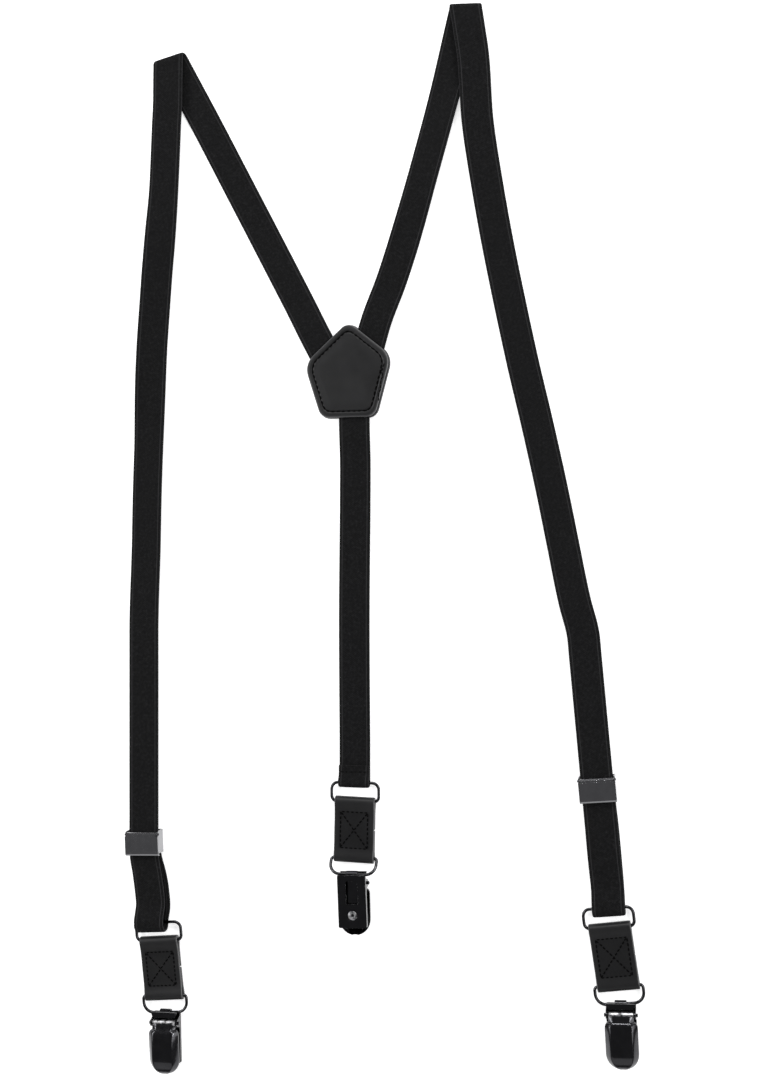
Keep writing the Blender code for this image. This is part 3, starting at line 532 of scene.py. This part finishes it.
def rounded(corners, radius, each=9):
    """The polygon with an arc of the radius (one, or a column of them) at each corner, tangent to both
    sides, as `each` points a corner."""
    u, v = unit(np.roll(corners, 1, 0) - corners), unit(np.roll(corners, -1, 0) - corners)
    half = np.arccos(np.clip((u * v).sum(1, keepdims=True), -1, 1)) / 2
    centre = corners + unit(u + v) * radius / np.sin(half)
    first, last = corners + u * radius / np.tan(half) - centre, corners + v * radius / np.tan(half) - centre
    begin, end = np.arctan2(first[:, 1], first[:, 0]), np.arctan2(last[:, 1], last[:, 0])
    sweep = (end - begin + np.pi) % (2 * np.pi) - np.pi
    t = begin[:, None] + sweep[:, None] * np.linspace(0, 1, each)
    radius = np.broadcast_to(radius, (len(corners), 1))[:, None]
    return (centre[:, None] + radius * np.stack([np.cos(t), np.sin(t)], -1)).reshape(-1, 2)


def closed_line(points, step):
    """The points' closed outline, with a point every `step` of its length."""
    loop = np.vstack([points, points[:1]])
    gone = measured(loop)
    at = np.linspace(0, gone[-1], round(gone[-1] / step), endpoint=False)
    return np.stack([np.interp(at, gone, loop[:, k]) for k in range(loop.shape[1])], -1)


def patch(name, outline, low, swell):
    """A leather patch. Rings of points go in from the outline to a small one at its centre. The height of
    each is the thickness, rounded off over the last 0.6 mm by a quarter circle, less the channel pressed
    by the seam, plus a swell inside it. low is the height of its underside."""
    centre = outline.mean(0)
    reach = np.linalg.norm(outline - centre, axis=1).mean()
    round_off, half = 0.0006, leather_thick / 2
    depth = np.concatenate([[0], round_off * (1 - np.cos(np.linspace(0.2, 1, 6) * np.pi / 2)),
                            np.linspace(0.0010, 0.0062, 24), np.linspace(0.0070, reach * 0.985, 16)])
    shrink = 1 - depth / reach
    edge = np.sqrt(1 - (1 - np.clip(depth / round_off, 0, 1)) ** 2)
    channel = 0.00020 * np.exp(-(((depth - seam_in) / 0.00045) ** 2))
    crown = swell * (0.55 * smoothly(round_off, 0.0016, depth) * smoothly(seam_in, seam_in - 0.0009, depth)
                     + smoothly(seam_in + 0.0003, seam_in + 0.0050, depth))
    rings = centre + (outline - centre) * shrink[:, None, None]
    top, under = (
        np.concatenate([rings, np.broadcast_to(z[:, None, None], (*rings.shape[:2], 1))], -1)
        for z in (low + (half + half * edge - channel + crown), low + (half - half * edge))
    )
    grid = np.concatenate([top[::-1], under[1:]]) + laid_at
    # Positive at the cut edge, for its painted highlight, and negative along the seam, for the painted shade
    # in its channel.
    cut = np.exp(-((depth / 0.0005) ** 2)) - np.exp(-(((depth - seam_in) / 0.00034) ** 2))
    cut = np.concatenate([cut[::-1], cut[1:]])[:, None] * np.ones(len(outline))
    return skin(name, grid, leather, None, cut=cut, angle=60)


inner_line = closed_line(rounded(moved_in(yoke_corners, 0.0003), yoke_rounding), 0.0008)
outer_line = closed_line(rounded(yoke_corners, yoke_rounding), 0.0008)
inner = patch("yoke_inner_leather", inner_line, inner_low, 0.00022)
outer = patch("yoke_outer_leather", outer_line, 0.0, 0.0)
for piece, cad in ((inner, "yoke_inner_patch"), (outer, "yoke_outer_patch")):
    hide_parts(cad)
    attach(piece, "root")


# ---- Sewing ----------------------------------------------------------------------------------------
# Black polyester thread, 0.4 mm thick on the rear strap and about 0.6 mm on the leather. The yoke's seam
# runs 2.9 mm in from its edge, with a crooked second row on the right; each tab has a box with a cross.

thread, tree, shader = material("black_thread", (0.002, 0.002, 0.002), 0.0, 0.90)
shader.inputs["Specular IOR Level"].default_value = 0.04
surface_at = node(tree, "TexCoord").outputs["Object"]
slanting = {"bands_direction": "DIAGONAL"}
ply = node(tree, "TexWave", slanting, Vector=surface_at, Scale=900.0, Distortion=1.5).outputs[1]
tone = shade(tree, (0.0008, 0.0008, 0.0008), (0.0035, 0.0035, 0.0035), ply)
tree.links.new(tone, shader.inputs["Base Color"])
bump = node(tree, "Bump", None, Strength=0.5, Distance=0.00005, Height=ply)
tree.links.new(bump.outputs[0], shader.inputs["Normal"])


def stitches(name, ends, up, radius=0.0002):
    """One mesh of separate stitches, given as pairs of end points. Each is a tube that swells from a point
    at either end by the square root of a parabola, and arches up by a fifth of a millimetre in between."""
    ends = np.asarray(ends, float)
    first, last = ends[:, 0], ends[:, 1]
    t = np.array([0.0, 0.10, 0.30, 0.5, 0.70, 0.90, 1.0])
    swell = np.sqrt(np.clip(4 * t * (1 - t), 0.02, 1)) ** 0.8
    along = unit(last - first)
    over = unit(np.broadcast_to(up, along.shape) - along * (along * up).sum(-1, keepdims=True))
    side = np.cross(along, over)
    a = np.linspace(0, 2 * np.pi, 6, endpoint=False)
    middle = first[:, None] + (last - first)[:, None] * t[None, :, None]
    middle = middle + over[:, None] * (0.00022 * (4 * t * (1 - t)) ** 0.6 - 0.00014)[None, :, None]
    ring = (side[:, None, None] * np.cos(a)[None, None, :, None]
            + over[:, None, None] * np.sin(a)[None, None, :, None])
    points = middle[:, :, None] + radius * swell[None, :, None, None] * ring
    each = len(t) * len(a)
    count = np.arange(len(ends))[:, None, None, None] * each
    at = np.arange(each).reshape(len(t), len(a))
    right = np.roll(at, -1, axis=1)
    quads = np.stack([at[:-1], at[1:], right[1:], right[:-1]], -1).reshape(-1, 4)
    faces = (quads[None] + count[:, 0]).reshape(-1, 4).tolist()
    faces += (at[0][None] + count[:, 0, 0]).tolist() + (at[-1, ::-1][None] + count[:, 0, 0]).tolist()
    mesh = bpy.data.meshes.new(name)
    mesh.from_pydata(points.reshape(-1, 3), [], faces)
    return as_object(name, mesh, thread)


def row(points, pitch=0.0026, gap=0.0006, wander=0.0):
    """A row of stitches along the points: one every `pitch`, with a gap between, as pairs of ends. wander
    sets them off the line a little, by a sine of their number."""
    gone = measured(points)
    count = max(1, round(gone[-1] / pitch))
    begin = np.linspace(0, gone[-1], count, endpoint=False)
    end = begin + gone[-1] / count - gap
    pairs = [np.stack([np.interp(at, gone, points[:, k]) for k in range(3)], -1) for at in (begin, end)]
    off = wander * np.sin(np.arange(count)[:, None] * (2.4, 2.9) + (0.0, 1.1))
    return np.stack(pairs, 1) + np.stack([off, 0.7 * off[:, ::-1], 0 * off], -1)


seam_z = inner_low + leather_thick
seam_line = rounded(moved_in(yoke_corners, 0.0032), yoke_rounding - 0.0026)
seam = np.column_stack([seam_line, np.full(len(seam_line), seam_z)]) + laid_at
seam = np.vstack([seam, seam[:1]])
second = np.array([(0.0004, 0.0835), (-0.0006, 0.0805), (-0.0004, 0.0775), (-0.0014, 0.0748),
                   (-0.0012, 0.0718), (-0.0024, 0.0690), (-0.0021, 0.0655)])
second = np.column_stack([second, np.full(len(second), seam_z + 0.0001)]) + laid_at
both_rows = np.concatenate([row(seam, wander=0.00008), row(second, 0.0021, 0.0002, 0.0003)])
sewn = stitches("yoke_thread", both_rows, np.array([0, 0, 1.0]), 0.00028)
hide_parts("yoke_stitching")
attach(sewn, "root")

hem_row = np.array([(rear_x - 0.0066, -0.1106, 0.00306), (rear_x + 0.0066, -0.1104, 0.00306)]) + laid_at
sewn = stitches("rear_hem_thread", row(hem_row, 0.0022, 0.0005, 0.00008), np.array([0, 0, 1.0]))
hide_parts("rear_hem_stitching")
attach(sewn, "rear_end")


# ---- Rings -----------------------------------------------------------------------------------------
# Each strap end carries a closed wire ring, black-nickel plated, 1.5 mm thick and bent to a flat oval.
# Each tab carries a second one, whose lower corners are rounder, and the clip's tongue curls round it.

black_nickel, tree, shader = material("black_nickel", (0.05, 0.05, 0.053), 1.0, 0.16)
surface_at = node(tree, "TexCoord").outputs["Object"]
smudge = node(tree, "TexNoise", None, Vector=surface_at, Scale=260.0, Detail=4.0, Roughness=0.65).outputs[0]
brushed = node(tree, "Mapping", None, Vector=surface_at, Scale=(1400.0, 180.0, 1400.0)).outputs[0]
hairline = node(tree, "TexNoise", None, Vector=brushed, Scale=1.0, Detail=3.0).outputs[0]
tone = shade(tree, (0.040, 0.040, 0.043), (0.072, 0.072, 0.076), smudge)
tree.links.new(tone, shader.inputs["Base Color"])
tree.links.new(reckon(tree, "ADD", 0.10, reckon(tree, "MULTIPLY", smudge, 0.12)), shader.inputs["Roughness"])
bump = node(tree, "Bump", None, Strength=0.12, Distance=0.00003, Height=hairline)
tree.links.new(bump.outputs[0], shader.inputs["Normal"])

# Brighter metal on the clips' rounded edges, the lever's barrel and the rivet: a painted highlight along
# them, and plating wear that shows the metal beneath where the edges rub.
worn_and_highlight_edge, tree, shader = material("plate_wear_and_highlight_edge", (0.62, 0.62, 0.63), 1.0, 0.34)
surface_at = node(tree, "TexCoord").outputs["Object"]
patchy = node(tree, "TexNoise", None, Vector=surface_at, Scale=520.0, Detail=3.0, Roughness=0.6).outputs[0]
patchy = reckon(tree, "MULTIPLY", reckon(tree, "SUBTRACT", patchy, 0.38), 5.0)
patchy = node(tree, "Clamp", None, i0=patchy).outputs[0]
tree.links.new(shade(tree, (0.10, 0.10, 0.105), (0.80, 0.80, 0.81), patchy), shader.inputs["Base Color"])

wire_r = 0.00075


def wire(name, path):
    """A closed wire ring: a circle of the wire's radius carried round the path, square to it."""
    ahead = unit(np.roll(path, -1, 0) - np.roll(path, 1, 0))
    level = unit((path - path.mean(0)) - ahead * ((path - path.mean(0)) * ahead).sum(1, keepdims=True))
    over = np.cross(ahead, level)
    a = np.linspace(0, 2 * np.pi, 14, endpoint=False)
    ring = level[:, None] * np.cos(a)[None, :, None] + over[:, None] * np.sin(a)[None, :, None]
    return skin(name, path[:, None] + wire_r * ring, black_nickel, ring=True, angle=80)


for end in ("left", "right", "rear"):
    at, right, up, _ = hinge_frame(f"ring_swing_{end}")
    corners = np.array([(-11.5, 0.0), (11.5, 0.0), (11.5, -9.0), (-11.5, -9.0)]) * 0.001
    loop = closed_line(rounded(corners, np.array([3.2, 3.2, 2.6, 2.6])[:, None] * 0.001, 12), 0.0006)
    path = at + loop[:, :1] * right + loop[:, 1:] * up
    made = wire(f"strap_ring_{end}_wire", path)
    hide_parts(f"strap_ring_{end}")
    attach(made, f"ring_{end}")

    at, right, _, _ = hinge_frame(f"clip_ring_swing_{end}")
    foot, _, _, _ = hinge_frame(f"clip_swing_{end}")
    down = unit((foot - at) - right * ((foot - at) @ right))
    fall = (foot - at) @ down
    corners = np.array([(-0.0111, 0.0), (0.0111, 0.0), (0.0111, fall), (-0.0111, fall)])
    loop = closed_line(rounded(corners, np.array([1.6, 1.6, 5.0, 5.0])[:, None] * 0.001, 12), 0.0006)
    path = at + loop[:, :1] * right + loop[:, 1:] * down
    made = wire(f"clip_ring_{end}_wire", path)
    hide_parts(f"clip_ring_{end}")
    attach(made, f"clip_ring_{end}")


# ---- Leather tabs ----------------------------------------------------------------------------------
# Each tab is one strip of the yoke's leather, 19.5 mm wide, wrapped round both rings with its ends meeting
# behind, and sewn through with a box and a cross. It bulges over the wires and is flat between.

tab_half, tab_half_thick, tab_eye = 0.00975, 0.00072, 0.00168
for end in ("left", "right", "rear"):
    at, right, up, out = hinge_frame(f"tab_swing_{end}")
    low, _, _, _ = hinge_frame(f"clip_ring_swing_{end}")
    drop = (at - low) @ up
    turn_low = np.linspace(-np.pi / 2, np.pi / 2, 21)
    turn_high = np.linspace(np.pi / 2, -np.pi / 2, 21)
    lay = 0.00099
    down_back = [(-drop / 2 - 0.0004, -lay), (-drop + 0.0066, -lay), (-drop + 0.0036, -lay - 0.00012)]
    round_low = np.column_stack([-drop - tab_eye * np.cos(turn_low), tab_eye * np.sin(turn_low)])
    up_front = [(-drop + 0.0036, lay + 0.00020), (-drop + 0.0062, lay), (-drop / 2, lay + 0.00004),
                (-0.0062, lay), (-0.0036, lay + 0.00020)]
    round_high = np.column_stack([tab_eye * np.cos(turn_high), tab_eye * np.sin(turn_high)])
    up_back = [(-0.0036, -lay - 0.00012), (-0.0066, -lay), (-drop / 2 + 0.0004, -lay)]
    path = through(np.vstack([down_back, round_low, up_front, round_high, up_back]), 0.0004)
    ahead = unit(np.gradient(path, axis=0))
    square = np.column_stack([ahead[:, 1], -ahead[:, 0]])
    s = np.linspace(-1, 1, 25)
    w = np.sign(s) * (1 - (1 - np.abs(s)) ** 1.6)
    thick = np.sqrt(1 - np.clip((np.abs(w) - 0.965) / 0.035, 0, 1) ** 2 * 0.96)
    half = np.concatenate([w, w[::-1]]) * tab_half
    rise = np.concatenate([thick, -thick[::-1]]) * tab_half_thick
    b = path[:, None, 0] + square[:, None, 0] * rise
    c = path[:, None, 1] + square[:, None, 1] * rise
    grid = at + half[None, :, None] * right + b[..., None] * up + c[..., None] * out
    # The cut edges get the leather's painted highlight; inside the stitched box the leather is made darker.
    cut = np.broadcast_to(np.clip((np.abs(half) / tab_half - 0.955) / 0.035, 0, 1), b.shape)
    boxed = smoothly(0.0079, 0.0071, np.abs(half)) * smoothly(0.0093, 0.0085, np.abs(b + drop / 2)) * (c > 0)
    cut = cut - 0.28 * boxed
    tab = skin(f"tab_{end}_leather", grid, leather, None, cut=cut, angle=60)
    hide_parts(f"tab_{end}")
    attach(tab, f"tab_{end}")

    middle = -drop / 2
    half_w, half_h = {"left": (0.0071, 0.0082), "right": (0.0072, 0.0088), "rear": (0.0066, 0.0086)}[end]
    face = lay + tab_half_thick
    box = np.array([(-half_w, -half_h), (half_w, -half_h), (half_w, half_h), (-half_w, half_h),
                    (-half_w, -half_h)])
    lines = [box[k : k + 2] for k in range(4)] + [box[[0, 2]], box[[1, 3]]]
    pairs = np.concatenate([row(np.column_stack([side, [0, 0]]), 0.0021, 0.0004, 0.00006) for side in lines])
    placed = at + pairs[..., :1] * right + (pairs[..., 1:2] + middle) * up + face * out
    sewn = stitches(f"tab_{end}_thread", placed, out, 0.00031)
    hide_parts(f"tab_stitching_{end}")
    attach(sewn, f"tab_{end}")


# ---- Clip bodies and jaws --------------------------------------------------------------------------
# The body is pressed from 0.75 mm steel: a windowed back plate, folded sides with ears for the pin, a lip
# to bite against, and a tongue curled round the ring. The jaw plate inside it ends in a brow that shows.


def eased(name, cad, radius, finish, edge_finish):
    """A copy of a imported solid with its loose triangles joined, its flats made whole and its edges rounded.
    The rounded edges have the second finish."""
    mesh = frame["nodes"][cad].data.copy()
    mesh.name = name
    joined = bmesh.new()
    joined.from_mesh(mesh)
    bmesh.ops.remove_doubles(joined, verts=joined.verts, dist=2e-6)
    bmesh.ops.dissolve_limit(joined, angle_limit=np.radians(1.0), verts=joined.verts, edges=joined.edges)
    joined.to_mesh(mesh)
    joined.free()
    mesh.materials.clear()
    mesh.materials.append(finish)
    mesh.materials.append(edge_finish)
    mesh.polygons.foreach_set("use_smooth", np.ones(len(mesh.polygons), bool))
    mesh.set_sharp_from_angle(angle=np.radians(28))
    made = bpy.data.objects.new(name, mesh)
    scene.collection.objects.link(made)
    soften = made.modifiers.new("eased edges", "BEVEL")
    soften.width, soften.segments, soften.limit_method = radius, 2, "ANGLE"
    soften.angle_limit, soften.harden_normals = np.radians(28), True
    soften.use_clamp_overlap = True
    # The rounded edges take the second finish; on the clips it is the brighter edge metal, a painted
    # highlight.
    soften.material = 1
    return made


for end in ("left", "right", "rear"):
    for name, cad, body, radius in (
        (f"clip_plate_{end}_metal", f"clip_body_{end}", f"clip_{end}", 0.00019),
        (f"clip_jaw_{end}_metal", f"clip_jaw_{end}", f"jaw_{end}", 0.00014),
    ):
        made = eased(name, cad, radius, black_nickel, worn_and_highlight_edge)
        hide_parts(cad)
        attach(made, body)


# ---- Clip levers, pins and eyelets -----------------------------------------------------------------
# The lever is a domed shell with a flat middle and sloping sides, narrow at the pin and round at its tip.
# The pin's ends are peened over. A hollow rivet with a circle round it closes the back plate.


def turned_on(centre, axis, across, profile, steps=40):
    """The points of a turned piece: the profile's (radius, height) points, in mm, carried round the axis."""
    square = np.cross(axis, across)
    a = np.linspace(0, 2 * np.pi, steps, endpoint=False)
    ray = np.cos(a)[:, None] * across + np.sin(a)[:, None] * square
    r, h = np.asarray(profile, float).T * 0.001
    return centre + r[:, None, None] * ray[None] + h[:, None, None] * axis


neck, spread, neck_end, tip_start = 5.8, 1.7, -2.9, -17.0  # in mm, as are the lever's other figures
pin_high, rivet_below = 0.0048, 0.0146
for end in ("left", "right", "rear"):
    at, right, up, out = hinge_frame(f"lever_open_{end}", -1)

    # Across: flat over the middle, then sloping to the rim by the 1.25th power. Along: the width opens from
    # the neck over a shoulder, and closes to the tip nearly as an ellipse; the crest rises, stays and dips.
    b = np.concatenate([np.linspace(0.9, -3.0, 12), np.linspace(-3.15, -5.0, 12),
                        np.linspace(-5.3, tip_start, 26),
                        tip_start - 7.7 * np.sin(np.linspace(0.06, 1, 26) * np.pi / 2)])
    shoulder = np.sqrt(np.clip(1 - (1 - np.clip((neck_end - b) / 2.6, 0, 1)) ** 2, 0, 1))
    wide = np.where(b > neck_end, neck, neck + spread * shoulder)
    wide = wide * np.sqrt(np.clip(1 - np.clip((tip_start - b) / 7.85, 0, 1) ** 2.15, 0.012, 1))
    crest = np.interp(-b, [-0.9, 0.6, 2.0, 3.2, 4.4, 7.0, 11.0, 16.5, 19.2, 21.6, 23.4, 24.4, 24.7],
                      [5.9, 6.75, 7.25, 7.95, 8.55, 9.1, 9.4, 9.4, 9.1, 8.3, 7.2, 6.1, 5.5])
    crest = np.convolve(np.pad(crest, 2, mode="edge"), np.ones(5) / 5, mode="valid")
    foot = np.interp(-b, [-0.9, 3.4, 11.0, 19.5, 24.7], [5.2, 5.4, 5.3, 4.6, 4.3])
    shelf = foot + np.minimum(1.15, (crest - foot) * 0.42)
    s = np.concatenate([np.linspace(-1, -0.66, 10), np.linspace(-0.62, 0.62, 13), np.linspace(0.66, 1, 10)])
    fall = np.clip((np.abs(s) - 0.64) / 0.36, 0, 1) ** 1.25
    skin_at = crest[:, None] - (crest - shelf)[:, None] * fall
    wall = np.minimum(0.75, wide * 0.35)[:, None]
    a_out, a_in = wide[:, None] * s, (wide[:, None] - wall * 0.85) * s
    left_rim = np.stack([np.stack([-wide, foot + (shelf - foot) * k], -1) for k in (0.0, 0.5)], 1)
    right_rim = left_rim[:, ::-1] * (-1, 1)
    outer = np.stack([a_out, skin_at], -1)
    inner = np.stack([a_in, skin_at - wall * (0.45 + 0.55 * (1 - fall))], -1)[:, ::-1]
    inner_right = np.stack([wide - wall[:, 0], foot + 0.02], -1)[:, None]
    section = [left_rim, outer, right_rim, inner_right, inner, inner_right * (-1, 1)]
    section = np.concatenate(section, 1) * 0.001
    across, height = section[..., :1], section[..., 1:] - pin_high
    grid = at + across * right + (b * 0.001)[:, None, None] * up + height * out
    lever = skin(f"clip_lever_{end}_shell", grid, black_nickel, angle=38)
    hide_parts(f"clip_lever_{end}")
    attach(lever, f"lever_{end}")

    # The barrel is of the brighter edge metal, a painted highlight along its top.
    profile = [(0.86, -5.7), (1.45, -5.7), (1.6, -5.55), (1.6, 5.55), (1.45, 5.7), (0.86, 5.7)]
    barrel = turned_on(at, right, up, profile)
    made = skin(f"clip_barrel_{end}_roll", barrel, worn_and_highlight_edge, ring=True, angle=40)
    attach(made, f"lever_{end}")

    profile = [(0.30, -7.75), (0.62, -7.70), (0.88, -7.50), (0.88, -7.20), (0.65, -7.00),
               (0.65, 7.00), (0.88, 7.20), (0.88, 7.50), (0.62, 7.70), (0.30, 7.75)]
    made = skin(f"clip_pin_{end}_rod", turned_on(at, right, up, profile, 24), black_nickel, angle=50)
    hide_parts(f"clip_pin_{end}")
    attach(made, f"clip_{end}")

    # The rivet's rim lies just inside the plate's outer face; the circle's crest is level with that face.
    seat = at - rivet_below * up - pin_high * out
    profile = [(0.85, 0.20), (1.05, 0.08), (1.45, 0.02), (1.85, 0.08), (2.0, 0.16), (2.12, 0.30),
               (2.12, 0.82), (2.9, 0.82), (2.9, 1.02), (2.7, 1.12), (0.85, 1.12)]
    rivet = turned_on(seat, out, right, profile, 48)
    made = skin(f"clip_rivet_{end}_eyelet", rivet, worn_and_highlight_edge, ring=True, angle=50)
    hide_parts(f"clip_rivet_{end}")
    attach(made, f"clip_{end}")
    a = np.linspace(0, np.pi, 9)
    profile = np.column_stack([3.5 + 0.45 * np.cos(a), 0.20 - 0.20 * np.sin(a)])
    circle = turned_on(seat, out, right, np.vstack([profile, [(3.05, 0.3), (3.95, 0.3)]]), 56)
    made = skin(f"clip_emboss_{end}_circle", circle, black_nickel, ring=True, angle=60)
    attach(made, f"clip_{end}")


# ---- Rubber pads -----------------------------------------------------------------------------------
# A strip of black rubber is set inside each jaw plate, to grip the cloth.

rubber, tree, shader = material("black_rubber", (0.018, 0.018, 0.018), 0.0, 0.6)
surface_at = node(tree, "TexCoord").outputs["Object"]
speck = node(tree, "TexNoise", None, Vector=surface_at, Scale=1500.0, Detail=3.0).outputs[0]
tree.links.new(shade(tree, (0.010, 0.010, 0.010), (0.030, 0.030, 0.030), speck), shader.inputs["Base Color"])
tooth = node(tree, "TexWave", {"bands_direction": "Y"}, Vector=surface_at, Scale=320.0).outputs[1]
bump = node(tree, "Bump", None, Strength=0.8, Distance=0.0002, Height=reckon(tree, "ADD", tooth, speck))
tree.links.new(bump.outputs[0], shader.inputs["Normal"])
for end in ("left", "right", "rear"):
    pad = frame["nodes"][f"clip_pad_{end}"]
    pad.data.materials.clear()
    pad.data.materials.append(rubber)


# ---- Sliders ---------------------------------------------------------------------------------------
# Each slider is a bent frame in bright nickel with a crossbar for the end of the webbing, and a flap on a
# pin whose cam bites the strap. The flap's plate covers the whole front, its top rolled round the pin.

bright_nickel, tree, shader = material("bright_nickel", (0.40, 0.40, 0.41), 1.0, 0.16)
surface_at = node(tree, "TexCoord").outputs["Object"]
smudge = node(tree, "TexNoise", None, Vector=surface_at, Scale=300.0, Detail=4.0, Roughness=0.6).outputs[0]
brushed = node(tree, "Mapping", None, Vector=surface_at, Scale=(160.0, 2200.0, 2200.0)).outputs[0]
hairline = node(tree, "TexNoise", None, Vector=brushed, Scale=1.0, Detail=3.0).outputs[0]
tree.links.new(shade(tree, (0.27, 0.27, 0.28), (0.36, 0.36, 0.37), smudge), shader.inputs["Base Color"])
tree.links.new(reckon(tree, "ADD", 0.12, reckon(tree, "MULTIPLY", smudge, 0.08)), shader.inputs["Roughness"])
bump = node(tree, "Bump", None, Strength=0.03, Distance=0.00002, Height=hairline)
tree.links.new(bump.outputs[0], shader.inputs["Normal"])

for side in ("left", "right"):
    at, right, up, _ = hinge_frame(f"flap_{side}_open", -1)
    for name, cad, body in (
        (f"slider_frame_{side}_metal", f"slider_frame_{side}", f"slider_{side}"),
        (f"slider_flap_{side}_metal", f"slider_flap_{side}", f"flap_{side}"),
    ):
        made = eased(name, cad, 0.00014, bright_nickel, bright_nickel)
        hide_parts(cad)
        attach(made, body)
    profile = [(0.20, -9.05), (0.40, -9.02), (0.62, -8.85), (0.62, -8.62), (0.45, -8.55),
               (0.45, 8.55), (0.62, 8.62), (0.62, 8.85), (0.40, 9.02), (0.20, 9.05)]
    made = skin(f"slider_pin_{side}_rod", turned_on(at, right, up, profile, 24), bright_nickel, angle=50)
    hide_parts(f"slider_pin_{side}")
    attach(made, f"slider_{side}")
